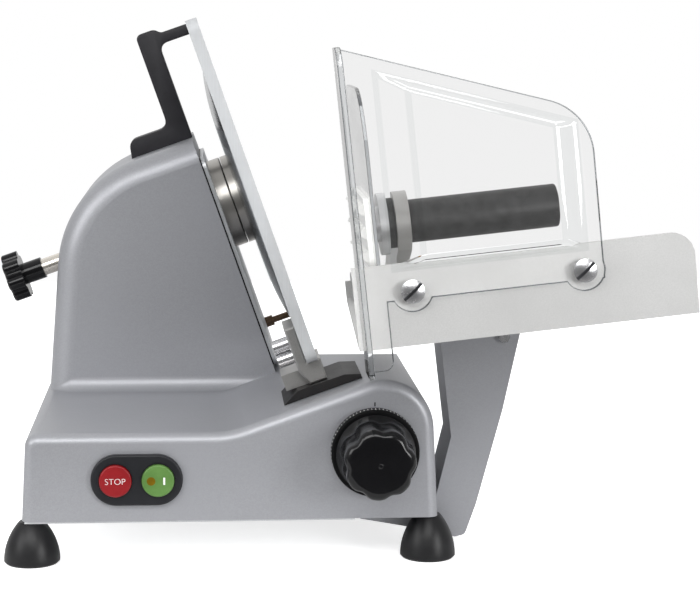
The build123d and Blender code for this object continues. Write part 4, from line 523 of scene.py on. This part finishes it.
def loosened(name, source, gap, bend, rim, body):
    """A CAD node's shape drawn in by a gap, with its bends and its rim rounded over."""
    shape = bmesh.new()
    shape.from_mesh(frame["nodes"][source].data)
    bmesh.ops.remove_doubles(shape, verts=shape.verts[:], dist=0.001 * MM)
    bmesh.ops.dissolve_limit(shape, angle_limit=radians(1), verts=shape.verts[:], edges=shape.edges[:])
    for face in shape.faces:
        # Twice the area over the perimeter is about the width of a long face.
        if 2 * face.calc_area() / face.calc_perimeter() < SHEET:
            face.material_index = EDGE_ZONE
        elif LEAN_LOW < abs(face.normal.y) < LEAN_HIGH:
            face.material_index = BEND_ZONE
    bends = [e for e in shape.edges if SHALLOW < e.calc_face_angle(0) < STEEP and e.calc_length() > SHORT]
    formed = bmesh.ops.bevel(shape, geom=bends, offset=bend, segments=5, profile=0.5, affect="EDGES")
    for face in formed["faces"]:
        face.material_index = BEND_ZONE
    rims = [e for e in shape.edges if e.calc_face_angle(0) > STEEP]
    rolled = bmesh.ops.bevel(shape, geom=rims, offset=rim, segments=3, profile=0.5, affect="EDGES")
    for face in rolled["faces"]:
        face.material_index = CORNER_ZONE
    shape.normal_update()
    for v in shape.verts:
        v.co -= v.normal * gap
    # The bend, edge and corner materials carry grey tints, painted shade that draws them as lines.
    mesh = bpy.data.meshes.new(name)
    for zone in clear_zones:
        mesh.materials.append(zone)
    shape.to_mesh(mesh)
    shape.free()
    mesh.shade_smooth()
    piece = mesh_piece(name, mesh)
    piece.data = applied(piece, piece.modifiers.new("weigh", "WEIGHTED_NORMAL"))
    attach(piece, body)
    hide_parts(source)
    return piece


hand_guard = loosened(
    "clear_hand_guard", "guard", gap=0.1 * MM, bend=2.0 * MM, rim=0.8 * MM, body="carriage")
shield = loosened(
    "clear_pusher_shield", "pusher_shield", gap=0.05 * MM, bend=1.0 * MM, rim=0.3 * MM, body="pusher")
for piece in (hand_guard, shield):
    print(piece.name, len(piece.data.polygons), "faces")

# %% [markdown]
# Each CAD node keeps its shape and takes the finish of its real material. A few nodes share a slot
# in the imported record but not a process, such as a rod that was ground and a hub that was turned,
# so the list below goes node by node.

# %% Finishes on the CAD nodes
finishes = {
    lacquer: ["base_casting", "carriage_arm"],
    satin_plate: ["gauge_plate"],
    drawn_plate: ["ring_guard", "tower_face_plate", "blade_cover", "bottom_plate"],
    blasted_sheet: ["tray"],
    milled_block: [
        "gauge_bracket", "gauge_post", "gauge_slide_block", "cam_disc", "carriage_slide_block", "pusher_arm"],
    turned_steel: ["hub_boss", "blade_hub", "hub_bearings", "spindle", "motor_shaft", "gauge_guide_rods"],
    tie_steel: ["tie_rod"],
    ground_rod: ["carriage_rod", "carriage_rail", "knob_shaft"],
    pusher_steel: ["pusher_rod"],
    turned_collar: ["pusher_core"],
    turned_pulley: ["driven_pulley", "drive_pulley"],
    bronze: ["pusher_bush"],
    blade_polish: ["blade"],
    bright_plating: [
        "face_plate_screws", "blade_screws", "gauge_bolts", "tray_bolt", "guard_screws", "foot_screws"],
    black_oxide: ["ring_post"],
    motor_enamel: ["motor"],
    black_phenolic: ["thickness_knob", "tie_rod_knob"],
    dial_plastic: ["dial_ring"],
    switch_plastic: ["switch_bezel", "switch_block", "cable_gland"],
    cover_plastic: ["slot_cover"],
    grip_plastic: ["pusher_grip", "pusher_spacer"],
    red_abs: ["stop_button"],
    green_abs: ["start_button"],
    amber_lens: ["start_lamp"],
    white_acetal: ["pusher_plate"],
    foot_rubber: [
        "foot_front_left", "foot_front_right", "foot_rear_left", "foot_rear_right", "tower_gasket"],
    belt_rubber: ["drive_belt"],
    stay_coat: ["guard_stay"],
    clear_sheet: ["guard", "pusher_shield"],
}
dressed = []
for material, names in finishes.items():
    for name in names:
        for slot in frame["nodes"][name].material_slots:
            slot.material = material
        dressed.append(name)
print(len(dressed), "nodes dressed; left over:", sorted(set(frame["nodes"]) - set(dressed)))

# %% [markdown]
# The dial's ring carries graduations, and two screws behind the gauge plate have straight knurling.
# Both are bars set round a ring, so one Geometry Nodes tree makes both: points on a circle, a bar
# on each point turned to face outwards, and a longer bar at every so many points. The sizes are
# named inputs, which makes the tree a tool that can be used again.

# %% A ring of bars in Geometry Nodes
bar_ring = bpy.data.node_groups.new("ring_of_bars", "GeometryNodeTree")
bar_ring.interface.new_socket("Geometry", in_out="OUTPUT", socket_type="NodeSocketGeometry")
ring_sockets = {
    "Bars": "NodeSocketInt", "Ring radius": "NodeSocketFloat", "Bar width": "NodeSocketFloat",
    "Bar height": "NodeSocketFloat", "Bar length": "NodeSocketFloat", "Long bar every": "NodeSocketInt",
    "Long bar length": "NodeSocketFloat", "Material": "NodeSocketMaterial"}
ring_inputs = {}
for label, kind in ring_sockets.items():
    ring_inputs[label] = bar_ring.interface.new_socket(label, in_out="INPUT", socket_type=kind).identifier
given = node(bar_ring, "NodeGroupInput").outputs
circle = node(bar_ring, "GeometryNodeMeshCircle", {"Vertices": given["Bars"], "Radius": given["Ring radius"]})
spot = node(bar_ring, "GeometryNodeInputPosition")
outwards = node(bar_ring, "FunctionNodeAlignRotationToVector", {"Vector": spot}, axis="X")
number = node(bar_ring, "GeometryNodeInputIndex")
step = node(bar_ring, "FunctionNodeIntegerMath", {0: number, 1: given["Long bar every"]}, operation="MODULO")
is_long = node(bar_ring, "FunctionNodeCompare", {"A": step, "B": 0}, data_type="INT", operation="EQUAL")
is_short = node(bar_ring, "FunctionNodeBooleanMath", {0: is_long}, operation="NOT")
joined = node(bar_ring, "GeometryNodeJoinGeometry")
for chosen, length in ((is_short, "Bar length"), (is_long, "Long bar length")):
    size = node(bar_ring, "ShaderNodeCombineXYZ", {
        "X": given["Bar height"], "Y": given["Bar width"], "Z": given[length]})
    bar = node(bar_ring, "GeometryNodeMeshCube", {"Size": size})
    half = node(bar_ring, "ShaderNodeMath", {0: given[length], 1: 0.5}, operation="MULTIPLY")
    lift = node(bar_ring, "ShaderNodeCombineXYZ", {"Z": half})
    footed = node(bar_ring, "GeometryNodeTransform", {"Geometry": bar, "Translation": lift})
    row = node(bar_ring, "GeometryNodeInstanceOnPoints", {
        "Points": circle, "Selection": chosen, "Instance": footed, "Rotation": outwards})
    bar_ring.links.new(row.outputs[0], joined.inputs[0])
real = node(bar_ring, "GeometryNodeRealizeInstances", {"Geometry": joined})
inked = node(bar_ring, "GeometryNodeSetMaterial", {"Geometry": real, "Material": given["Material"]})
node(bar_ring, "NodeGroupOutput", {"Geometry": inked})
print(bar_ring.name, "has inputs", list(ring_inputs))

# %% [markdown]
# A tree does nothing until an object's modifier runs it. The function below runs it on an empty
# mesh, keeps the result as a plain mesh, and then stands the ring on its own centre and axis. The
# first ring it grows is the dial's scale: 72 white strokes on the ring's rim, every sixth a long one.

# %% Graduations on the dial
SCALE_STARTS = 3.2 * MM


def grow_ring(name, sizes, centre, axis, body):
    """Run the tree with these sizes, stand the ring on a centre and axis, and ride it on a body."""
    piece = mesh_piece(name, bpy.data.meshes.new(name))
    grower = piece.modifiers.new("grow", "NODES")
    grower.node_group = bar_ring
    for label, value in sizes.items():
        grower[ring_inputs[label]] = value
    mesh = applied(piece, grower)
    piece.data = mesh
    mesh.transform(Matrix.Translation(centre) @ Vector(axis).to_track_quat("Z", "Y").to_matrix().to_4x4())
    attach(piece, body)
    return piece


dial_centre = Vector(joints["dial_turn"]["pos_m"])
ring_low, ring_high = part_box("dial_ring")
ring_radius = (ring_high.x - ring_low.x) / 2
graduation_sizes = {
    "Bars": 72, "Ring radius": ring_radius, "Bar width": 0.45 * MM, "Bar height": 0.2 * MM,
    "Bar length": 3.0 * MM, "Long bar every": 6, "Long bar length": 4.4 * MM, "Material": legend_ink}
scale_foot = (dial_centre.x, ring_high.y - SCALE_STARTS, dial_centre.z)
graduations = grow_ring("dial_graduations", graduation_sizes, scale_foot, (0, -1, 0), "dial")
print(graduations.name, len(graduations.data.polygons), "faces")

# %% [markdown]
# The two screws behind the gauge plate are turned by hand when it is set, so their heads are
# knurled. One sits above the other on the blade's slope, so their places are given from the blade's
# centre, along its axis and up its slope. Their depth comes from the box of the CAD node.

# %% Knurled screw heads
HEAD_RADIUS = 4.8 * MM
KNURL_BACK = -26.4 * MM
KNURL_RISES = {"upper": -93.0 * MM, "lower": -103.0 * MM}
blade_up = Vector((-blade_axis.z, 0, blade_axis.x))
bolt_depth = sum(corner.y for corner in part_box("gauge_bolts")) / 2
knurl_sizes = {
    "Bars": 26, "Ring radius": HEAD_RADIUS, "Bar width": 0.55 * MM, "Bar height": 0.3 * MM,
    "Bar length": 9.6 * MM, "Long bar every": 2, "Long bar length": 10.2 * MM, "Material": bright_plating}
knurls = []
for label, rise in KNURL_RISES.items():
    foot = blade_centre + blade_axis * KNURL_BACK + blade_up * rise
    foot.y = bolt_depth
    name = "gauge_screw_knurl_" + label
    knurls.append(grow_ring(name, knurl_sizes, foot, blade_axis, "gauge"))
print([(piece.name, len(piece.data.polygons)) for piece in knurls])

# %% [markdown]
# The red button's sign is printed. A picture of the letters could be laid on the button, but a mesh
# stays sharp from near by. So text becomes a thin mesh that stands on the button's face and rides
# with the button. The letters are scaled to the height of the print, whatever the font gives.

# %% Printed word on the stop button
INK = 0.1 * MM
THINNER = -0.02


def print_sign(name, words, tall, centre, body):
    """Words as a thin mesh facing the operator, this tall, centred on a point."""
    letters = bpy.data.curves.new(name, "FONT")
    letters.body = words
    letters.extrude = INK
    letters.offset = THINNER
    letters.resolution_u = 6
    writer = bpy.data.objects.new(name + "_curve", letters)
    scene.collection.objects.link(writer)
    ready = writer.evaluated_get(bpy.context.evaluated_depsgraph_get())
    mesh = bpy.data.meshes.new_from_object(ready)
    bpy.data.objects.remove(writer)
    spans = [(min(v.co[i] for v in mesh.vertices), max(v.co[i] for v in mesh.vertices)) for i in (0, 1)]
    size = tall / (spans[1][1] - spans[1][0])
    for v in mesh.vertices:
        x = (v.co.x - sum(spans[0]) / 2) * size
        z = (v.co.y - sum(spans[1]) / 2) * size
        v.co = Vector(centre) + Vector((x, -v.co.z, z))
    piece = mesh_piece(name, mesh, legend_ink)
    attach(piece, body)
    return piece


stop_low, stop_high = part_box("stop_button")
stop_centre = ((stop_low.x + stop_high.x) / 2, stop_low.y, (stop_low.z + stop_high.z) / 2)
stop_sign = print_sign("stop_sign", "STOP", 3.9 * MM, stop_centre, "stop")
print(stop_sign.name, len(stop_sign.data.polygons), "faces")

# %% [markdown]
# Two more marks are plain strokes: the sign for on, beside the lamp of the green button, and the
# index line on the base above the dial. Both are thin bars with broken edges.

# %% Printed strokes
PRINT_SUNK = 0.05 * MM
PRINT_EDGE = 0.03 * MM
ON_SHIFT = 4.2 * MM
INDEX_RISE = 2.2 * MM


def piece_from(shape, name, material, crease=None):
    """Link a bmesh as a piece, shaded smooth up to a crease angle if one is given."""
    mesh = bpy.data.meshes.new(name)
    shape.to_mesh(mesh)
    shape.free()
    if crease:
        mesh.shade_smooth()
        mesh.set_sharp_from_angle(angle=crease)
    return mesh_piece(name, mesh, material)


def soft_bar(name, low, high, edge, material):
    """A bar between two corners, with its edges bevelled."""
    shape = bmesh.new()
    bmesh.ops.create_cube(shape, size=1)
    for v in shape.verts:
        v.co = Vector([(a + b) / 2 + c * (b - a) for a, b, c in zip(low, high, v.co)])
    bmesh.ops.bevel(shape, geom=shape.edges[:], offset=edge, segments=2, affect="EDGES")
    return piece_from(shape, name, material)


def stroke(name, centre, wide, tall, material, body):
    """A printed stroke, as proud as the ink of the word, on a face towards the operator."""
    x, y, z = centre
    low = (x - wide / 2, y - INK, z - tall / 2)
    high = (x + wide / 2, y + PRINT_SUNK, z + tall / 2)
    piece = soft_bar(name, low, high, PRINT_EDGE, material)
    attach(piece, body)
    return piece


start_low, start_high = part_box("start_button")
on_centre = ((start_low.x + start_high.x) / 2 + ON_SHIFT, start_low.y, (start_low.z + start_high.z) / 2)
index_centre = (dial_centre.x, dial_centre.y, dial_centre.z + ring_radius + INDEX_RISE)
strokes = [
    stroke("start_sign", on_centre, 1.3 * MM, 5.0 * MM, legend_ink, "start"),
    stroke("dial_index", index_centre, 0.9 * MM, 2.8 * MM, index_ink, "base"),
]
print([piece.name for piece in strokes])

# %% [markdown]
# A lathe is easy to copy: a profile, given as distances along and out from an axis, is spun once
# round. A Screw modifier would do it too, but one call on a bmesh leaves a finished mesh. It makes
# the gate mark that the mould left in the middle of the knob's face, and the pusher's grip, whose
# black sleeve reaches over the collar.

# %% Turned pieces
CREASE = radians(35)


def lathe(name, centre, axis, profile, turns, material):
    """A piece turned about an axis from a profile of distances along and out."""
    centre = Vector(centre)
    axis = Vector(axis).normalized()
    out = axis.orthogonal().normalized()
    shape = bmesh.new()
    points = [shape.verts.new(centre + axis * along + out * far) for along, far in profile]
    lines = [shape.edges.new(pair) for pair in zip(points, points[1:])]
    bmesh.ops.spin(shape, geom=points + lines, cent=centre, axis=axis, angle=2 * pi, steps=turns)
    bmesh.ops.remove_doubles(shape, verts=shape.verts[:], dist=0.001 * MM)
    bmesh.ops.recalc_face_normals(shape, faces=shape.faces[:])
    return piece_from(shape, name, material, CREASE)


MARK_RADIUS = 1.4 * MM
MARK_THICK = 0.32 * MM
MARK_STEPS = 8
knob_low, knob_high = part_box("thickness_knob")
mark_turns = [2 * pi * k / MARK_STEPS for k in range(MARK_STEPS + 1)]
mark_profile = [(MARK_THICK * sin(t), MARK_RADIUS + MARK_THICK * cos(t)) for t in mark_turns]
mark_centre = (dial_centre.x, knob_low.y, dial_centre.z)
gate_mark = lathe("knob_gate_mark", mark_centre, (0, -1, 0), mark_profile, 28, black_phenolic)
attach(gate_mark, "dial")

GRIP = 14.6 * MM
GRIP_HALF = 47 * MM
GRIP_EDGE = 1.2 * MM
SLEEVE = 7.4 * MM
NECK = 12.05 * MM
grip_low, grip_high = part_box("pusher_grip")
grip_foot = -GRIP_HALF - SLEEVE
grip_profile = [
    (-GRIP_HALF, 0), (-GRIP_HALF, NECK), (grip_foot, NECK), (grip_foot, GRIP - GRIP_EDGE),
    (grip_foot + GRIP_EDGE, GRIP), (GRIP_HALF - GRIP_EDGE, GRIP),
    (GRIP_HALF - GRIP_EDGE / 3, GRIP - GRIP_EDGE / 3), (GRIP_HALF, GRIP - GRIP_EDGE), (GRIP_HALF, 0)]
grip = lathe("turned_grip", (grip_low + grip_high) / 2, tray_axis, grip_profile, 96, grip_plastic)
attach(grip, "pusher")
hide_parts("pusher_grip")
print(gate_mark.name, grip.name)

# %% [markdown]
# The dial's knob is moulded with seven soft lobes for the fingers. Round a ring of the knob, the
# radius swells and shrinks seven times; along its length, the lobes grow out of a plain skirt and
# die away over the rounded front edge. A second, faster wave broadens the lobes and narrows the
# flutes between them. Each station below gives the distance from the dial's ring, the mean radius
# and how strong the lobes are there. A skin over the rings of points makes the solid, which a
# formula shapes better than a stack of modifiers would.

# %% Lobed dial knob
LOBES = 7
LOBE_TURN = radians(264)
SWELL = 1.1 * MM
BROADEN = 0.25
FACE_EDGE = 5.2 * MM
FACE_RADIUS = 18.2 * MM
FACE_STEPS = 12
AROUND = 180


def skin(rings):
    """A closed shape with faces between rings of points, and one face over each end."""
    shape = bmesh.new()
    loops = [[shape.verts.new(point) for point in ring] for ring in rings]
    for near, far in zip(loops, loops[1:]):
        for k in range(len(near)):
            shape.faces.new((near[k - 1], near[k], far[k], far[k - 1]))
    shape.faces.new(loops[0])
    shape.faces.new(loops[-1])
    bmesh.ops.recalc_face_normals(shape, faces=shape.faces[:])
    return shape


knob_stations = [
    (0, 26.2 * MM, 0), (0.5 * MM, 27 * MM, 0), (2.2 * MM, 27 * MM, 0), (3.0 * MM, 26.4 * MM, 0),
    (6 * MM, 24.4 * MM, 0.5), (10 * MM, 23.6 * MM, 1), (24 * MM, 23.4 * MM, 1)]
for k in range(FACE_STEPS + 1):
    bend = radians(90) * k / FACE_STEPS
    along = knob_high.y - knob_low.y - FACE_EDGE * (1 - sin(bend))
    knob_stations.append((along, FACE_RADIUS + FACE_EDGE * cos(bend), cos(bend)))
knob_rings = []
for along, far, strength in knob_stations:
    ring = []
    for k in range(AROUND):
        turn = 2 * pi * k / AROUND
        wave = LOBES * (turn - LOBE_TURN)
        r = far + strength * SWELL * (cos(wave) - BROADEN * cos(2 * wave))
        ring.append((dial_centre.x + r * cos(turn), knob_high.y - along, dial_centre.z + r * sin(turn)))
    knob_rings.append(ring)
lobed_knob = piece_from(skin(knob_rings), "lobed_knob", black_phenolic, CREASE)
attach(lobed_knob, "dial")
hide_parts("thickness_knob")
print(lobed_knob.name, len(lobed_knob.data.polygons), "faces")

# %% [markdown]
# The guard's two screws have domed heads with a wide slot. The dome is part of a ball, whose size
# follows from the head's radius and the height of its crown, and the head is turned like the other
# round pieces. A Boolean modifier then cuts the slot at 45 degrees, as the screws stand in the
# photograph. It hands the cutter's darker finish on to the walls of the slot, as painted shade.

# %% Domed guard screws
HEAD = 7.6 * MM
HEAD_TALL = 4.0 * MM
RIM = 2.2 * MM
SHANK = 3.0 * MM
DOME_STEPS = 8
SLOT_HALF = Vector((9, 2.3, 1.0)) * MM
SLOT_RISE = 0.4 * MM
SLOT_TURN = radians(-45)
screw_low, screw_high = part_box("guard_screws")
seat = screw_low.y + HEAD_TALL
tail = screw_high.y - seat
crown = HEAD_TALL - RIM
ball = (HEAD**2 + crown**2) / (2 * crown)
dome_radii = [HEAD * (1 - k / DOME_STEPS) for k in range(DOME_STEPS + 1)]
dome = [(RIM + crown - ball + sqrt(ball**2 - far**2), far) for far in dome_radii]
screw_profile = [(-tail, 0), (-tail, SHANK), (0, SHANK), (0, HEAD)] + dome
heads = [v.co for v in frame["nodes"]["guard_screws"].data.vertices if v.co.y < seat - 1 * MM]
split = sum(co.x for co in heads) / len(heads)
sides = {"left": [co for co in heads if co.x < split], "right": [co for co in heads if co.x >= split]}
for label, group in sides.items():
    middle = Vector([(min(co[i] for co in group) + max(co[i] for co in group)) / 2 for i in range(3)])
    middle.y = seat
    screw = lathe("guard_screw_" + label, middle, (0, -1, 0), screw_profile, 48, bright_plating)
    cutter = soft_bar("slot_cutter", -SLOT_HALF, SLOT_HALF, 0.05 * MM, slot_painted_shade)
    top = middle + Vector((0, -HEAD_TALL - SLOT_RISE, 0))
    cutter.data.transform(Matrix.Translation(top) @ Matrix.Rotation(SLOT_TURN, 4, "Y"))
    cut = screw.modifiers.new("slot", "BOOLEAN")
    cut.object = cutter
    cut.material_mode = "TRANSFER"
    screw.data = applied(screw, cut)
    bpy.data.objects.remove(cutter)
    screw.data.set_sharp_from_angle(angle=CREASE)
    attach(screw, "carriage")
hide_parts("guard_screws")

# %% [markdown]
# The black stay that holds the ring guard is a small casting: a foot on the tower, a strut, and an
# arm to the ring. CAD drew its outline with crisp corners, and the real ones are soft, each by its
# own amount. One bevel can't give each corner its own width, so the outline is drawn anew. It stands
# in the blade's own directions, in millimetres along the axis and up the slope, and each row adds
# how far before its corner a curve begins. A skin between two copies of the outline is as deep as
# the CAD node, and a fine bevel breaks its edges.

# %% Softened stay
TIP = 37.6
ARM_LOW, ARM_HIGH = 366.0, 374.3
STRUT_LEFT, STRUT_RIGHT = -4.3, 10.5
STAY_TOP = 378.3
FOOT_LEFT, FOOT_LEAN = -39.0, 3.0
FOOT_LOW, FOOT_HIGH = 289.5, 304.8
STAY_EDGE = 0.8 * MM
STAY_CREASE = radians(40)
CURVE_STEPS = 6
stay_corners = [
    (TIP, ARM_LOW, 0),
    (TIP, ARM_HIGH, 0),
    (STRUT_RIGHT + STAY_TOP - ARM_HIGH, ARM_HIGH, 2.5),
    (STRUT_RIGHT, STAY_TOP, 2.5),
    (STRUT_LEFT, STAY_TOP, 5),
    (STRUT_LEFT, FOOT_HIGH, 8),
    (FOOT_LEFT + FOOT_LEAN, FOOT_HIGH, 6),
    (FOOT_LEFT, FOOT_LOW, 0),
    (STRUT_RIGHT, FOOT_LOW, 0),
    (STRUT_RIGHT, ARM_LOW, 7),
]


def soft_outline(rows):
    """A closed outline whose corners are curves that start as far from them as each row says."""
    spots = [(blade_axis * along + blade_up * rise) * MM for along, rise, reach in rows]
    smooth = []
    for k, corner in enumerate(spots):
        reach = rows[k][2] * MM
        start = corner + (spots[k - 1] - corner).normalized() * reach
        end = corner + (spots[(k + 1) % len(spots)] - corner).normalized() * reach
        for j in range(CURVE_STEPS + 1 if reach else 1):
            t = j / CURVE_STEPS
            smooth.append(start.lerp(corner, t).lerp(corner.lerp(end, t), t))
    return smooth


stay_low, stay_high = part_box("guard_stay")
outline = soft_outline(stay_corners)
stay_shape = skin([[(spot.x, y, spot.z) for spot in outline] for y in (stay_low.y, stay_high.y)])
rims = [e for e in stay_shape.edges if abs(e.verts[0].co.y - e.verts[1].co.y) < 0.1 * MM]
bmesh.ops.bevel(stay_shape, geom=rims, offset=STAY_EDGE, segments=3, profile=0.5, affect="EDGES")
softened_stay = piece_from(stay_shape, "softened_stay", stay_coat, STAY_CREASE)
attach(softened_stay, "base")
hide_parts("guard_stay")
print(softened_stay.name, len(outline), "points round,", len(softened_stay.data.polygons), "faces")

# %% [markdown]
# A casting has no sharp inner corners: where the tower stands on the base, the metal flows from one
# into the other in a cove. CAD nodes stay as they are, so it is a piece of its own. It runs level
# along the tower's front foot, dies away round the tower's rounded corner at the left, and at the
# right the ramp rises through it and it ends at the plane of the face plate. The profile is a hollow
# quarter circle, sunk a little into the casting so that no gap shows. The first cell walks along
# the foot and notes the cove's place, direction and size.

# %% Path of the cove at the tower's foot
TOWER_FRONT = 41 * MM
BASE_TOP = 90 * MM
CORNER = Vector((-178.9 * MM, 58 * MM, BASE_TOP))
CORNER_RADIUS = 17 * MM
CORNER_TURN = radians(66)
CORNER_STEPS = 14
FRONT_END = -18 * MM
FRONT_STEPS = 24
COVE = 10.5 * MM
COVE_START = 0.05
stations = []
for k in range(CORNER_STEPS + 1):
    share = k / CORNER_STEPS
    turn = CORNER_TURN * (1 - share)
    out = Vector((-sin(turn), -cos(turn), 0))
    size = COVE * (COVE_START + (1 - COVE_START) * share**1.6)
    stations.append((CORNER + out * CORNER_RADIUS, out, size))
for k in range(1, FRONT_STEPS + 1):
    x = CORNER.x + k / FRONT_STEPS * (FRONT_END - CORNER.x)
    stations.append((Vector((x, TOWER_FRONT, BASE_TOP)), Vector((0, -1, 0)), COVE))
print(len(stations), "stations")

# %% [markdown]
# Each station then gets its ring of points, and what would reach past the face plate is drawn back
# to its plane. The same skin as on the knob closes the cove.

# %% Cove at the tower's foot
SINK = 0.3 * MM
COVE_STEPS = 12
PLATE_PLANE = -33.6 * MM
bends = [radians(90) * k / (COVE_STEPS - 1) for k in range(COVE_STEPS)]
cove_rings = []
for spot, out, size in stations:
    profile = [(size * (1 - sin(b)), size * (1 - cos(b))) for b in bends]
    profile += [(-SINK, size), (-SINK, -SINK), (size, -SINK)]
    ring = [spot + out * far + Vector((0, 0, tall)) for far, tall in profile]
    for point in ring:
        past = (point - blade_centre).dot(blade_axis) - PLATE_PLANE
        point.x -= max(0, past) / blade_axis.x
    cove_rings.append(ring)
tower_cove = piece_from(skin(cove_rings), "tower_cove", lacquer, CREASE)
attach(tower_cove, "base")
print(tower_cove.name, len(tower_cove.data.polygons), "faces")
